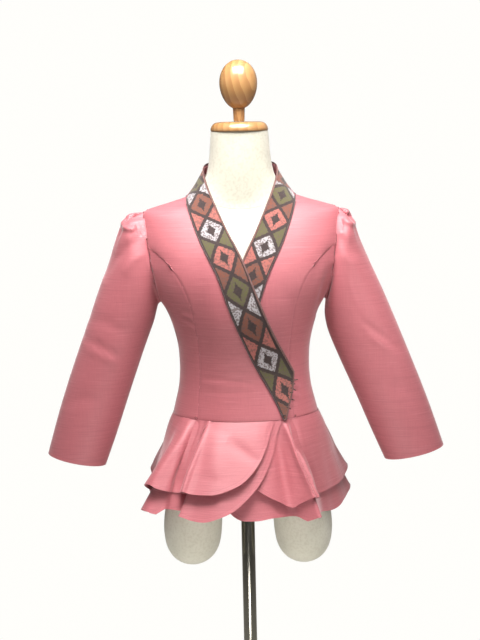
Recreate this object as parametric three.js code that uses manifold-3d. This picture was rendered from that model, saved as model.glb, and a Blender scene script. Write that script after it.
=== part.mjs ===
// A fitted wrap-front silk blouse with a two-tier peplum and a patterned neck band, on a limbless dress form.
// Millimetres, +Z up, the blouse faces -Y. The origin is the centre of the stand's foot, on the floor.
// "right" and "left" are the wearer's: the wearer's right side is at -X.
import * as THREE from "three";
import { mergeVertices } from "three/addons/utils/BufferGeometryUtils.js";
import Module from "manifold-3d";

const wasm = await Module();
wasm.setup();

// ---- Driving dimensions --------------------------------------------------------------------------------------
const CLOTH = 1.5; // silk with its facing
const SEAM_GAP = 0.3;
const LAYER = CLOTH + SEAM_GAP; // one cloth lying on another
const WRAP_LIFT = 5; // the overlapping front over the other front and its band
const EASE = 4; // between the form and the cloth
const WAIST_Z = 905; // seam between bodice and peplum
const SHOULDER_TIP_Z = 1279;
const SHOULDER_NECK_Z = 1305;
const BACK_NECK_Z = 1326;
const UNDERARM_Z = 1112;
const NECK_TOP_Z = 1421;
const BAND_THICK = 1.2;

// The figure that the cloth is cut for, one row for each level: half width, depth to the front and to the back of
// the side line, and how square the outline is (2 is an ellipse).
const FIGURE = [
  { z: 700, half: 160, front: 104, back: 114, power: 2.1 },
  { z: 760, half: 149, front: 103, back: 112, power: 2.1 },
  { z: 810, half: 141, front: 101, back: 107, power: 2.05 },
  { z: 860, half: 137, front: 97, back: 98, power: 2 },
  { z: 905, half: 134, front: 91, back: 91, power: 2 },
  { z: 945, half: 123.5, front: 85, back: 81, power: 2.05 },
  { z: 985, half: 119, front: 83, back: 78, power: 2.1 },
  { z: 1025, half: 120, front: 91, back: 82, power: 2.15 },
  { z: 1060, half: 127, front: 103, back: 87, power: 2.2 },
  { z: 1090, half: 136, front: 111, back: 92, power: 2.25 },
  { z: 1112, half: 147, front: 114, back: 96, power: 2.3 },
  { z: 1150, half: 166, front: 112, back: 100, power: 2.4 },
  { z: 1190, half: 176, front: 102, back: 101, power: 2.5 },
  { z: 1230, half: 180, front: 85, back: 94, power: 2.4 },
  { z: 1260, half: 181, front: 68, back: 82, power: 2.15 },
  { z: 1279, half: 177, front: 58, back: 72, power: 1.9 },
  { z: 1292, half: 137.5, front: 53, back: 67, power: 1.7 },
  { z: 1305, half: 98, front: 52, back: 62, power: 1.7 },
  { z: 1320, half: 80, front: 52, back: 57, power: 1.8 },
  { z: 1340, half: 66, front: 53, back: 54, power: 1.95 },
  { z: 1370, half: 60, front: 53, back: 53, power: 2 },
  { z: 1421, half: 56.5, front: 53, back: 53, power: 2 },
];

// Front princess seam: distance from the centre front at each level, up to where it meets the armhole.
const PRINCESS = [
  { z: 905, x: 87 },
  { z: 971, x: 82 },
  { z: 1028, x: 80 },
  { z: 1069, x: 85 },
  { z: 1111, x: 91 },
  { z: 1140, x: 100 },
  { z: 1173, x: 116 },
  { z: 1201, x: 139 },
];

// Armhole: an oval on the figure's side, in degrees of turn and millimetres of height.
const ARMHOLE = { front: 23, back: 22, princessAt: 74 };
const ARMHOLE_STEPS_UPPER = [0, 12, 22, 32, 45, 60, ARMHOLE.princessAt];
const ARMHOLE_STEPS_UNDER = [ARMHOLE.princessAt, 95, 116, 138, 160, 180];
const ARMHOLE_STEPS_BACK = [0, 12, 22, 32, 48, 70, 95, 122, 152, 180];

// Neck band of the overlapping front, from its cut end at the waist to the shoulder: the sewn outer edge and the
// free inner edge, as distances from the centre front (positive is past the centre) and heights.
const BAND = [
  { outX: 65, outZ: 905.4, inX: 69, inZ: 905.4, free: 0 },
  { outX: 49, outZ: 945, inX: 78, inZ: 945, free: 0 },
  { outX: 33, outZ: 976, inX: 85, inZ: 980, free: 0 },
  { outX: 13, outZ: 1017, inX: 70, inZ: 1020, free: 0 },
  { outX: -6, outZ: 1067, inX: 51, inZ: 1062, free: 0 },
  { outX: -25, outZ: 1111, inX: 34, inZ: 1104, free: 0 },
  { outX: -41, outZ: 1164, inX: 12, inZ: 1163, free: 0 },
  { outX: -54, outZ: 1190, inX: -4, inZ: 1202, free: 0 },
  { outX: -66, outZ: 1213, inX: -19, inZ: 1229, free: 0.05 },
  { outX: -78, outZ: 1239, inX: -33, inZ: 1258, free: 0.25 },
  { outX: -88, outZ: 1266, inX: -47, inZ: 1290, free: 0.6 },
  { outX: -96, outZ: 1290, inX: -59, inZ: 1318, free: 1 },
  { outX: -98, outZ: SHOULDER_NECK_Z, inX: -66.5, inZ: 1346, free: 1 },
];
const BAND_SHOULDER = BAND.length - 1; // last station of the table, on the shoulder seam
const BAND_BACK_STEPS = 6; // stations from the shoulder to the centre back
const UNDERLAP_SHRINK = 0.5; // the hidden edge of the underlapping front stops sooner than the visible one

// Top edge of the stand collar: plan radius and height at each turn from the centre front.
const COLLAR_TOP = [
  { turn: 90, radius: 66.5, z: 1346 },
  { turn: 107, radius: 65.5, z: 1360 },
  { turn: 135, radius: 61.5, z: 1363 },
  { turn: 180, radius: 60, z: 1365 },
];

// Sleeve rings, each through an underarm point and an outer point, with its depth, and how much of the head's
// pleats it shows. R and L are the wearer's right and left; the right hangs a little further out.
const SLEEVE = [
  { inR: 156, inL: 153, inZ: 1109, outR: 188, outL: 185, outZ: 1283, depth: 49.5, shift: 0, pleat: 0.6 },
  { inR: 158, inL: 150.5, inZ: 1100, outR: 207, outL: 196, outZ: 1279.5, depth: 54, shift: 0, pleat: 1 },
  { inR: 161, inL: 149, inZ: 1089, outR: 218, outL: 205, outZ: 1265, depth: 57, shift: 0, pleat: 0.8 },
  { inR: 165, inL: 150, inZ: 1074, outR: 232, outL: 213, outZ: 1229, depth: 57.5, shift: -1, pleat: 0.25 },
  { inR: 173, inL: 153.5, inZ: 1054, outR: 246, outL: 231, outZ: 1188, depth: 56, shift: -2, pleat: 0 },
  { inR: 183.5, inL: 164, inZ: 1027, outR: 267, outL: 255.5, outZ: 1135, depth: 53, shift: -4, pleat: 0 },
  { inR: 199, inL: 182, inZ: 984, outR: 291.5, outL: 283, outZ: 1068, depth: 50, shift: -6, pleat: 0 },
  { inR: 217, inL: 204.5, inZ: 934, outR: 319, outL: 311.5, outZ: 996, depth: 47, shift: -8, pleat: 0 },
  { inR: 238, inL: 229.5, inZ: 872, outR: 346.5, outL: 342, outZ: 918, depth: 45, shift: -10, pleat: 0 },
  { inR: 262, inL: 257, inZ: 810, outR: 371, outL: 369, outZ: 835, depth: 43, shift: -12, pleat: 0 },
];
// Pleats at the sleeve head: where each lies round the armhole, its depth and its spread, in degrees and mm.
const HEAD_PLEATS = [
  { turn: 22, depth: -7, spread: 7 },
  { turn: 40, depth: 3, spread: 10 },
  { turn: -22, depth: -7, spread: 7 },
  { turn: -40, depth: 3, spread: 10 },
];
const SLEEVE_INSET = 0.9; // the sleeve head starts this far inside the armhole's edge
const SLEEVE_STAND = 3; // and stands off the figure by this before it widens

// Peplum folds round the waist: how far the cloth stands out from the waist seam at the upper tier's hem.
const FOLDS = [
  { turn: -180, out: 58 },
  { turn: -164, out: 38 },
  { turn: -148, out: 66 },
  { turn: -132, out: 40 },
  { turn: -114, out: 79 },
  { turn: -100, out: 50 },
  { turn: -86, out: 44 },
  { turn: -70, out: 62 },
  { turn: -60, out: 98 },
  { turn: -54, out: 104 },
  { turn: -46.5, out: 94 },
  { turn: -43, out: 62 },
  { turn: -39.5, out: 66 },
  { turn: -36, out: 96 },
  { turn: -30, out: 91 },
  { turn: -20, out: 92 },
  { turn: -8, out: 88 },
  { turn: 6, out: 84 },
  { turn: 14, out: 80 },
  { turn: 22, out: 70 },
  { turn: 29, out: 60 },
  { turn: 35, out: 70 },
  { turn: 39.5, out: 89 },
  { turn: 45, out: 68 },
  { turn: 51, out: 52 },
  { turn: 58, out: 38 },
  { turn: 66, out: 31 },
  { turn: 76, out: 31 },
  { turn: 85, out: 40 },
  { turn: 98, out: 57 },
  { turn: 106, out: 75 },
  { turn: 118, out: 60 },
  { turn: 132, out: 39 },
  { turn: 148, out: 66 },
  { turn: 164, out: 38 },
  { turn: 180, out: 58 },
];
// Share of that flare which the underlapping front keeps, where the other front holds it down.
const UNDER_FLARE = [
  { turn: -90, share: 0.8 },
  { turn: 10, share: 0.8 },
  { turn: 20, share: 0.84 },
  { turn: 28, share: 0.88 },
  { turn: 34, share: 0.93 },
  { turn: 39.5, share: 1 },
  { turn: 90, share: 1 },
];
const LOWER_FLARE = 0.87; // the lower tier flares less than the upper

// Cloth length from the waist seam to the hem, round each front; the hems are rounded off at the front edges.
const HEMS = {
  upper_right: [
    { turn: -90, length: 146 },
    { turn: -54, length: 146 },
    { turn: -50.8, length: 149 },
    { turn: -46.5, length: 146 },
    { turn: -43, length: 135 },
    { turn: -39.5, length: 137 },
    { turn: -36, length: 146 },
    { turn: -20.4, length: 146 },
    { turn: -11.2, length: 134.5 },
    { turn: -3.3, length: 120.5 },
    { turn: 6.9, length: 89 },
    { turn: 15.9, length: 54 },
    { turn: 22.2, length: 28 },
    { turn: 30, length: 5 },
  ],
  lower_right: [
    { turn: -90, length: 185 },
    { turn: -54, length: 187 },
    { turn: -50.3, length: 190 },
    { turn: -48, length: 186 },
    { turn: -46, length: 171 },
    { turn: -43, length: 168 },
    { turn: -39.5, length: 171 },
    { turn: -36, length: 184 },
    { turn: -22.9, length: 189.5 },
    { turn: -15.5, length: 180.7 },
    { turn: -9, length: 168.6 },
    { turn: 0.1, length: 143.2 },
    { turn: 11, length: 107.7 },
    { turn: 17.4, length: 80.8 },
    { turn: 24.5, length: 54 },
    { turn: 30.1, length: 29 },
    { turn: 37.5, length: 5 },
  ],
  upper_left: [
    { turn: -30, length: 5 },
    { turn: -22, length: 28 },
    { turn: -16, length: 54 },
    { turn: -7, length: 89 },
    { turn: 3.3, length: 118 },
    { turn: 13.2, length: 138.2 },
    { turn: 16.1, length: 142.2 },
    { turn: 24.4, length: 153 },
    { turn: 30.4, length: 161 },
    { turn: 34.4, length: 156.4 },
    { turn: 37.2, length: 154 },
    { turn: 39.5, length: 156 },
    { turn: 56, length: 145 },
    { turn: 71.6, length: 145.5 },
    { turn: 90, length: 146 },
  ],
  lower_left: [
    { turn: -37.5, length: 5 },
    { turn: -32, length: 50 },
    { turn: -25, length: 105 },
    { turn: -17, length: 145 },
    { turn: -10.3, length: 168.5 },
    { turn: -3.3, length: 178.7 },
    { turn: 5.6, length: 179.2 },
    { turn: 16.3, length: 175.5 },
    { turn: 28.6, length: 174.6 },
    { turn: 33.5, length: 178 },
    { turn: 36, length: 189.6 },
    { turn: 39.6, length: 189.5 },
    { turn: 59.5, length: 181 },
    { turn: 80.5, length: 190 },
    { turn: 90, length: 185 },
  ],
  upper_back: [
    { turn: 90, length: 146 },
    { turn: 270, length: 146 },
  ],
  lower_back: [
    { turn: 90, length: 185 },
    { turn: 270, length: 185 },
  ],
};
const PEPLUM_ROWS = [0.3, 50, 100, 148, 189]; // lengths of cloth at which the tiers are drawn
const TIER = { upper: 148, lower: 189 };
const TIER_LAYER = 2.5; // the lower tier hangs this far inside the upper

// Dress form and stand.
const NECK_CAP = { radius: 52.5, thick: 17 };
const FINIAL = { stem: 11, stemHeight: 24, radius: 35, height: 90 };
const THIGH = [
  { z: 785, x: 99, half: 42, depth: 66 },
  { z: 745, x: 101, half: 51, depth: 73 },
  { z: 700, x: 104, half: 57, depth: 74 },
  { z: 664, x: 105, half: 56, depth: 71 },
  { z: 640, x: 105, half: 50, depth: 64 },
  { z: 623, x: 105, half: 38, depth: 50 },
  { z: 613, x: 105, half: 20, depth: 27 },
];
const THIGH_END_Z = 611;
const POLE = { radius: 12.7, top: 770 };
const BASE = { radius: 160, rim: 6, rise: 16, hub: 24, height: 46 };

// Finishes; each piece gets a material of its own from one of them.
const SILK = { color: 0xc8707f, roughness: 0.45, metalness: 0 };
const BROCADE = { color: 0x6a4038, roughness: 0.8, metalness: 0 };
const CREAM = { color: 0xe6e0cf, roughness: 0.9, metalness: 0 };
const WOOD = { color: 0xd9a766, roughness: 0.4, metalness: 0 };
const CHROME = { color: 0xb8b8b4, roughness: 0.15, metalness: 1 };

const group = new THREE.Group();

// ---- Small helpers -------------------------------------------------------------------------------------------
const { abs, sign, sin, cos, asin, sqrt, min, max, PI } = Math;
const radians = (degrees) => (degrees * PI) / 180;
const vec = (x, y, z) => new THREE.Vector3(x, y, z);
const mix = (a, b, t) => a + (b - a) * t;
const clamp = (t, low = 0, high = 1) => min(high, max(low, t));
const smooth = (t) => clamp(t) ** 2 * (3 - 2 * clamp(t));
const steps = (count) => Array.from({ length: count + 1 }, (_, i) => i / count);

// A smooth curve through a table's rows that never swings past them.
function curve(rows, at, key) {
  const n = rows.length;
  const slope = rows.slice(1).map((r, i) => (r[key] - rows[i][key]) / (r[at] - rows[i][at]));
  const tangent = rows.map((_, i) => {
    if (i === 0 || i === n - 1) return slope[min(i, n - 2)];
    if (slope[i - 1] * slope[i] <= 0) return 0;
    return (2 * slope[i - 1] * slope[i]) / (slope[i - 1] + slope[i]);
  });
  return (x) => {
    let i = 0;
    while (i < n - 2 && x > rows[i + 1][at]) i++;
    const span = rows[i + 1][at] - rows[i][at];
    const t = clamp((x - rows[i][at]) / span);
    const [t2, t3] = [t * t, t * t * t];
    return (
      rows[i][key] * (2 * t3 - 3 * t2 + 1) +
      tangent[i] * span * (t3 - 2 * t2 + t) +
      rows[i + 1][key] * (3 * t2 - 2 * t3) +
      tangent[i + 1] * span * (t3 - t2)
    );
  };
}

// A point and its outward normal on the surface at(u, v), by small steps inside its range.
function spotOn(at, u, v, [u0, u1], [v0, v1], outward) {
  const [du, dv] = [(u1 - u0) * 1e-3, (v1 - v0) * 1e-3];
  const along = at(min(u + du, u1), v).sub(at(max(u - du, u0), v));
  const across = at(u, min(v + dv, v1)).sub(at(u, max(v - dv, v0)));
  const p = at(u, v);
  return { p, n: squared(along.cross(across).multiplyScalar(outward), p.z) };
}

// Pulls the four edges of a grid of spots in by half a seam gap, along the cloth.
function trimmed(grid, { rows = true, columns = true } = {}, by = SEAM_GAP / 2) {
  const toward = (a, b) => a.p.clone().add(b.p.clone().sub(a.p).setLength(by));
  const out = grid.map((row) => row.map((s) => ({ p: s.p.clone(), n: s.n, lift: s.lift })));
  const [last, end] = [grid.length - 1, grid[0].length - 1];
  if (columns) {
    out.forEach((row) => {
      row[0].p = toward(row[0], row[1]);
      row[end].p = toward(row[end], row[end - 1]);
    });
  }
  if (rows) {
    for (let j = 0; j <= end; j++) {
      out[0][j].p = toward(out[0][j], out[1][j]);
      out[last][j].p = toward(out[last][j], out[last - 1][j]);
    }
  }
  return out;
}

// A closed wall on a grid of spots: its inner face stands off the spots by lift, its outer face by lift + thick.
// A grid that closes on itself, such as a sleeve, joins its last column to its first.
function wall(name, grid, lift, thick, finish, closes = false) {
  const [rows, columns] = [grid.length, grid[0].length];
  const place = (s, by) => s.p.clone().addScaledVector(s.n, by + (s.lift ?? 0));
  const points = [];
  for (const by of [lift, lift + thick]) {
    for (const row of grid) points.push(...row.map((s) => place(s, by)));
  }
  const inner = (i, j) => i * columns + (j % columns);
  const outer = (i, j) => rows * columns + inner(i, j);
  const index = [];
  const quad = (a, b, c, d) => index.push(a, b, c, a, c, d);
  const spans = closes ? columns : columns - 1;
  for (let i = 0; i < rows - 1; i++) {
    for (let j = 0; j < spans; j++) {
      quad(outer(i, j), outer(i, j + 1), outer(i + 1, j + 1), outer(i + 1, j));
      quad(inner(i, j), inner(i + 1, j), inner(i + 1, j + 1), inner(i, j + 1));
    }
    if (!closes) {
      quad(inner(i, 0), outer(i, 0), outer(i + 1, 0), inner(i + 1, 0));
      quad(outer(i, spans), inner(i, spans), inner(i + 1, spans), outer(i + 1, spans));
    }
  }
  for (let j = 0; j < spans; j++) {
    quad(outer(0, j), inner(0, j), inner(0, j + 1), outer(0, j + 1));
    quad(inner(rows - 1, j), outer(rows - 1, j), outer(rows - 1, j + 1), inner(rows - 1, j + 1));
  }
  return addMesh(name, points, index, finish);
}

function signedVolume(points, index) {
  let total = 0;
  for (let i = 0; i < index.length; i += 3) {
    total += points[index[i]].dot(points[index[i + 1]].clone().cross(points[index[i + 2]])) / 6;
  }
  return total;
}

function addMesh(name, points, index, finish) {
  if (signedVolume(points, index) < 0) {
    for (let i = 0; i < index.length; i += 3) [index[i], index[i + 1]] = [index[i + 1], index[i]];
  }
  const geometry = new THREE.BufferGeometry().setFromPoints(points);
  geometry.setIndex(index);
  geometry.computeVertexNormals();
  return addGeometry(name, geometry, finish);
}

function addGeometry(name, geometry, finish) {
  const mesh = new THREE.Mesh(geometry, new THREE.MeshStandardMaterial(finish));
  mesh.name = name;
  group.add(mesh);
  return mesh;
}

// ---- The figure ----------------------------------------------------------------------------------------------
const level = Object.fromEntries(["half", "front", "back", "power"].map((k) => [k, curve(FIGURE, "z", k)]));

// The figure's surface at a turn from the centre front (radians, positive to +X) and a height.
function figure(turn, z) {
  const bend = 2 / level.power(z);
  const [s, c] = [sin(turn), cos(turn)];
  const depth = c > 0 ? level.front(z) : level.back(z);
  return vec(level.half(z) * sign(s) * abs(s) ** bend, -depth * sign(c) * abs(c) ** bend, z);
}

// Close to the waist seam the walls are cut square, so that what hangs there clears what stands there.
function squared(n, z) {
  n.z *= smooth(abs(z - WAIST_Z) / 14);
  return n.normalize();
}

function figureSpot(turn, z) {
  const [du, dz] = [radians(0.6), 0.8];
  const round = figure(turn + du, z).sub(figure(turn - du, z));
  const up = figure(turn, z + dz).sub(figure(turn, z - dz));
  return { p: figure(turn, z), n: squared(round.cross(up), z) };
}

// The turn at which the figure's front lies x from its centre.
const turnAt = (x, z) => sign(x) * asin(clamp((abs(x) / level.half(z)) ** (level.power(z) / 2)));

// A place on the armhole's edge, in degrees from the shoulder tip: front positive, back negative.
function armhole(degrees, side) {
  const t = radians(abs(degrees));
  const spread = degrees >= 0 ? -ARMHOLE.front : ARMHOLE.back;
  const middle = (SHOULDER_TIP_Z + UNDERARM_Z) / 2;
  const z = middle + ((SHOULDER_TIP_Z - UNDERARM_Z) / 2) * cos(t);
  return { turn: side * radians(90 + spread * sin(t)), z };
}

// ---- Neck band surface ---------------------------------------------------------------------------------------
const bandRows = BAND.map((row, station) => ({ station, ...row }));
const bandAt = Object.fromEntries(
  ["outX", "outZ", "inX", "inZ", "free"].map((k) => [k, curve(bandRows, "station", k)]),
);
const collarTop = Object.fromEntries(["radius", "z"].map((k) => [k, curve(COLLAR_TOP, "turn", k)]));
const bandEnd = BAND_SHOULDER + BAND_BACK_STEPS;

// How far past the centre an edge runs: the hidden underlap is shorter.
const lapped = (x, wraps) => (x > 0 && !wraps ? x * UNDERLAP_SHRINK : x);

// The neck seam behind the shoulders, as a turn and a height.
function neckSeam(station) {
  const share = (station - BAND_SHOULDER) / BAND_BACK_STEPS;
  return { turn: radians(90 + 90 * share), z: mix(SHOULDER_NECK_Z, BACK_NECK_Z, sin((share * PI) / 2)) };
}

// The band's surface from its sewn edge (across 0) to its free edge (across 1). side is -1 for the wearer's right.
function band(station, across, side, wraps) {
  if (station > BAND_SHOULDER) {
    const seam = neckSeam(station);
    const turn = (seam.turn * 180) / PI;
    const foot = figure(seam.turn, seam.z);
    const reach = collarTop.radius(turn);
    const top = vec(reach * sin(radians(turn)), -reach * cos(radians(turn)), collarTop.z(turn));
    const p = foot.lerp(top, across);
    return vec(side * p.x, p.y, p.z);
  }
  const edge = (x, z) => {
    const p = figure(turnAt(x, z), z);
    return vec(x, p.y, z);
  };
  const [outX, outZ] = [lapped(bandAt.outX(station), wraps), bandAt.outZ(station)];
  const [inX, inZ] = [lapped(bandAt.inX(station), wraps), bandAt.inZ(station)];
  const free = bandAt.free(station);
  const foot = edge(outX, outZ);
  const lifted = edge(inX, inZ);
  const onNeck = smooth((inZ - 1280) / (1346 - 1280));
  lifted.y = mix(lifted.y, sqrt(max(0, collarTop.radius(90) ** 2 - inX ** 2)) * -1, onNeck);
  const straight = foot.clone().lerp(lifted, across);
  const laid = edge(mix(outX, inX, across), mix(outZ, inZ, across));
  const p = laid.lerp(straight, free);
  return vec(-side * p.x, p.y, p.z);
}

function bandSpot(station, across, side, wraps) {
  const at = (u, v) => band(u, v, side, wraps);
  const s = spotOn(at, station, across, [0, bandEnd], [0, 1], side);
  if (across === 0) {
    // the sewn edge is mitred with the panel that it stands on
    const turn = station > BAND_SHOULDER ? side * neckSeam(station).turn : turnAt(s.p.x, s.p.z);
    s.n = s.n.clone().add(figureSpot(turn, s.p.z).n).normalize();
  }
  return s;
}

// ---- Bodice --------------------------------------------------------------------------------------------------
const PRINCESS_ROWS = 10;
const UPPER_ROWS = ARMHOLE_STEPS_UPPER.length - 1;
const FRONT_ROWS = PRINCESS_ROWS + UPPER_ROWS;
const PANEL_COLUMNS = 7;
const BAND_COLUMNS = 4;
const SIDE_COLUMNS = ARMHOLE_STEPS_UNDER.length - 1;

const princessX = curve(PRINCESS, "z", "x");

// The princess seam from the waist (0) to the armhole (1).
function princess(t, side) {
  const top = armhole(ARMHOLE.princessAt, side);
  const z = mix(WAIST_Z, top.z, t);
  const last = PRINCESS[PRINCESS.length - 1];
  if (z <= last.z) return { turn: side * turnAt(princessX(z), z), z };
  const from = side * turnAt(last.x, last.z);
  const share = (z - last.z) / (top.z - last.z);
  return { turn: mix(from, top.turn, share), z };
}

const sideSeam = (t, side) => ({ turn: side * radians(90), z: mix(WAIST_Z, UNDERARM_Z, t) });
const blendPlace = (a, b, t) => ({ turn: mix(a.turn, b.turn, t), z: mix(a.z, b.z, t) });

// A four-sided patch between opposite edges, each a function from 0 to 1.
function patch(bottom, top, start, end, s, t) {
  const pick = (k) =>
    mix(bottom(s)[k], top(s)[k], t) +
    mix(start(t)[k], end(t)[k], s) -
    mix(mix(bottom(0)[k], bottom(1)[k], s), mix(top(0)[k], top(1)[k], s), t);
  return { turn: pick("turn"), z: pick("z") };
}

// The overlapping front stands off the underlapping one, and both meet the shoulder at the same level.
function wrapLift(p) {
  const past = smooth((p.x + 82) / 34);
  const below = 1 - smooth((p.z - 1212) / 42);
  return WRAP_LIFT * past * below;
}

// Band station of a front row: even steps from the waist to the shoulder.
const frontStation = (row) => (row / FRONT_ROWS) * BAND_SHOULDER;

function frontCentre(side, wraps) {
  const start = (t) => {
    const row = t * FRONT_ROWS;
    if (row <= PRINCESS_ROWS) return princess(row / PRINCESS_ROWS, side);
    return armhole(ARMHOLE_STEPS_UPPER[UPPER_ROWS - Math.round(row - PRINCESS_ROWS)], side);
  };
  const end = (t) => {
    const p = band(t * BAND_SHOULDER, 0, side, wraps);
    return { turn: turnAt(p.x, p.z), z: p.z };
  };
  const bottom = (s) => blendPlace(start(0), end(0), s);
  const top = (s) => ({ turn: side * radians(90), z: mix(SHOULDER_TIP_Z, SHOULDER_NECK_Z, s) });
  const grid = [];
  for (let i = 0; i <= FRONT_ROWS; i++) {
    const row = steps(PANEL_COLUMNS).map((s) => {
      const place = patch(bottom, top, start, end, s, i / FRONT_ROWS);
      return figureSpot(place.turn, place.z);
    });
    row.pop();
    for (const across of steps(BAND_COLUMNS)) row.push(bandSpot(frontStation(i), across, side, wraps));
    if (wraps) row.forEach((s) => (s.lift = wrapLift(s.p)));
    grid.push(row);
  }
  return trimmed(grid);
}

function frontSide(side) {
  const start = (t) => sideSeam(t, side);
  const end = (t) => princess(t, side);
  const bottom = (s) => blendPlace(start(0), end(0), s);
  const top = (s) => armhole(ARMHOLE_STEPS_UNDER[SIDE_COLUMNS - Math.round(s * SIDE_COLUMNS)], side);
  const grid = steps(PRINCESS_ROWS).map((t) =>
    steps(SIDE_COLUMNS).map((s) => {
      const place = patch(bottom, top, start, end, s, t);
      return figureSpot(place.turn, place.z);
    }),
  );
  return trimmed(grid, {}, SEAM_GAP);
}

function backPanel() {
  const backRows = ARMHOLE_STEPS_BACK.length - 1;
  const rows = PRINCESS_ROWS + backRows;
  const shoulderColumns = 5;
  const columns = 2 * (shoulderColumns + BAND_BACK_STEPS);
  const edge = (t, side) => {
    const row = t * rows;
    if (row <= PRINCESS_ROWS) return sideSeam(row / PRINCESS_ROWS, side);
    return armhole(-ARMHOLE_STEPS_BACK[backRows - Math.round(row - PRINCESS_ROWS)], side);
  };
  const start = (t) => edge(t, 1);
  const end = (t) => ({ turn: 2 * PI + edge(t, -1).turn, z: edge(t, -1).z });
  const bottom = (s) => blendPlace(start(0), end(0), s);
  const top = (s) => {
    const column = s * columns;
    const fromTip = min(column, columns - column);
    const mirrored = column > columns / 2;
    const place =
      fromTip <= shoulderColumns
        ? { turn: PI / 2, z: mix(SHOULDER_TIP_Z, SHOULDER_NECK_Z, fromTip / shoulderColumns) }
        : neckSeam(BAND_SHOULDER + fromTip - shoulderColumns);
    return { turn: mirrored ? 2 * PI - place.turn : place.turn, z: place.z };
  };
  const grid = steps(rows).map((t) =>
    steps(columns).map((s) => {
      const place = patch(bottom, top, start, end, s, t);
      return figureSpot(place.turn, place.z);
    }),
  );
  grid[rows].forEach((s, column) => {
    const along = min(column, columns - column) - shoulderColumns;
    if (along >= 0) s.n = bandSpot(BAND_SHOULDER + along, 0, column > columns / 2 ? -1 : 1, false).n;
  });
  return trimmed(grid);
}

wall("front_right_centre", frontCentre(-1, true), 0, CLOTH, SILK);
wall("front_left_centre", frontCentre(1, false), 0, CLOTH, SILK);
wall("front_right_side", frontSide(-1), 0, CLOTH, SILK);
wall("front_left_side", frontSide(1), 0, CLOTH, SILK);
wall("back", backPanel(), 0, CLOTH, SILK);

// ---- Neck band and the stand behind it -----------------------------------------------------------------------
function bandStrip(side, wraps) {
  const stations = [...Array(FRONT_ROWS + 1).keys()].map(frontStation);
  for (let k = 1; k <= BAND_BACK_STEPS; k++) stations.push(BAND_SHOULDER + k);
  const grid = stations.map((station) =>
    steps(BAND_COLUMNS).map((across) => {
      const s = bandSpot(station, across, side, wraps);
      return wraps ? { ...s, lift: wrapLift(s.p) } : s;
    }),
  );
  return trimmed(grid, { columns: false });
}

function collarStand() {
  const grid = [];
  for (let k = -BAND_BACK_STEPS; k <= BAND_BACK_STEPS; k++) {
    const side = k < 0 ? -1 : 1;
    const station = bandEnd - abs(k);
    grid.push(steps(BAND_COLUMNS).map((across) => bandSpot(station, across, side, false)));
  }
  return trimmed(grid, {}, SEAM_GAP);
}

wall("neck_band_right", bandStrip(-1, true), LAYER, BAND_THICK, BROCADE);
wall("neck_band_left", bandStrip(1, false), LAYER, BAND_THICK, BROCADE);
wall("collar_stand", collarStand(), 0, CLOTH, SILK);

// ---- Sleeves -------------------------------------------------------------------------------------------------
const sleeveRows = SLEEVE.map((row, ring) => ({ ring: ring + 2, ...row }));
const SLEEVE_KEYS = ["inR", "inL", "inZ", "outR", "outL", "outZ", "depth", "shift", "pleat"];
const sleeveAt = Object.fromEntries(SLEEVE_KEYS.map((k) => [k, curve(sleeveRows, "ring", k)]));
const SLEEVE_END = SLEEVE.length + 1;

function headPleat(degrees) {
  return HEAD_PLEATS.reduce((sum, f) => sum + f.depth * Math.exp(-(((degrees - f.turn) / f.spread) ** 2)), 0);
}

// The sleeve at a ring (0 is the armhole) and degrees from its top: front positive, back negative.
function sleeve(ring, degrees, side) {
  const t = radians(degrees);
  const loop = armhole(degrees, side);
  const seam = figure(loop.turn, loop.z);
  const centre = vec(side * 166, 0, (SHOULDER_TIP_Z + UNDERARM_Z) / 2);
  const inward = centre.clone().sub(seam);
  inward.x = 0;
  seam.add(inward.setLength(SLEEVE_INSET));
  const stood = seam.clone().addScaledVector(figureSpot(loop.turn, loop.z).n, SLEEVE_STAND);
  if (ring <= 1) return seam.lerp(stood, ring);
  const r = max(2, ring);
  const arm = side < 0 ? "R" : "L";
  const [inX, inZ] = [sleeveAt["in" + arm](r), sleeveAt.inZ(r)];
  const [outX, outZ] = [sleeveAt["out" + arm](r), sleeveAt.outZ(r)];
  const depth = sleeveAt.depth(r);
  const across = (1 + cos(t)) / 2;
  const point = vec(mix(inX, outX, across), -depth * sin(t) + sleeveAt.shift(r), mix(inZ, outZ, across));
  const span = vec(outX - inX, 0, outZ - inZ).normalize();
  const outward = vec(span.x * cos(t), -sin(t), span.z * cos(t));
  point.addScaledVector(outward, headPleat(degrees) * sleeveAt.pleat(r));
  point.x *= side;
  return point;
}

const SLEEVE_TURNS = [
  ...ARMHOLE_STEPS_UPPER,
  ...ARMHOLE_STEPS_UNDER.slice(1),
  ...ARMHOLE_STEPS_BACK.slice(1, -1).map((d) => -d).reverse(),
];

function sleeveGrid(side) {
  const rings = [...Array(SLEEVE_END + 1).keys()];
  return rings.map((ring) =>
    SLEEVE_TURNS.map((degrees) =>
      spotOn((u, v) => sleeve(u, v, side), ring, degrees, [0, SLEEVE_END], [-200, 200], -side),
    ),
  );
}

for (const [name, side] of [["sleeve_right", -1], ["sleeve_left", 1]]) {
  wall(name, sleeveGrid(side), -CLOTH, CLOTH, SILK, true);
}

// ---- Peplum --------------------------------------------------------------------------------------------------
const foldOut = curve(FOLDS, "turn", "out");
const underFlare = curve(UNDER_FLARE, "turn", "share");

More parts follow.
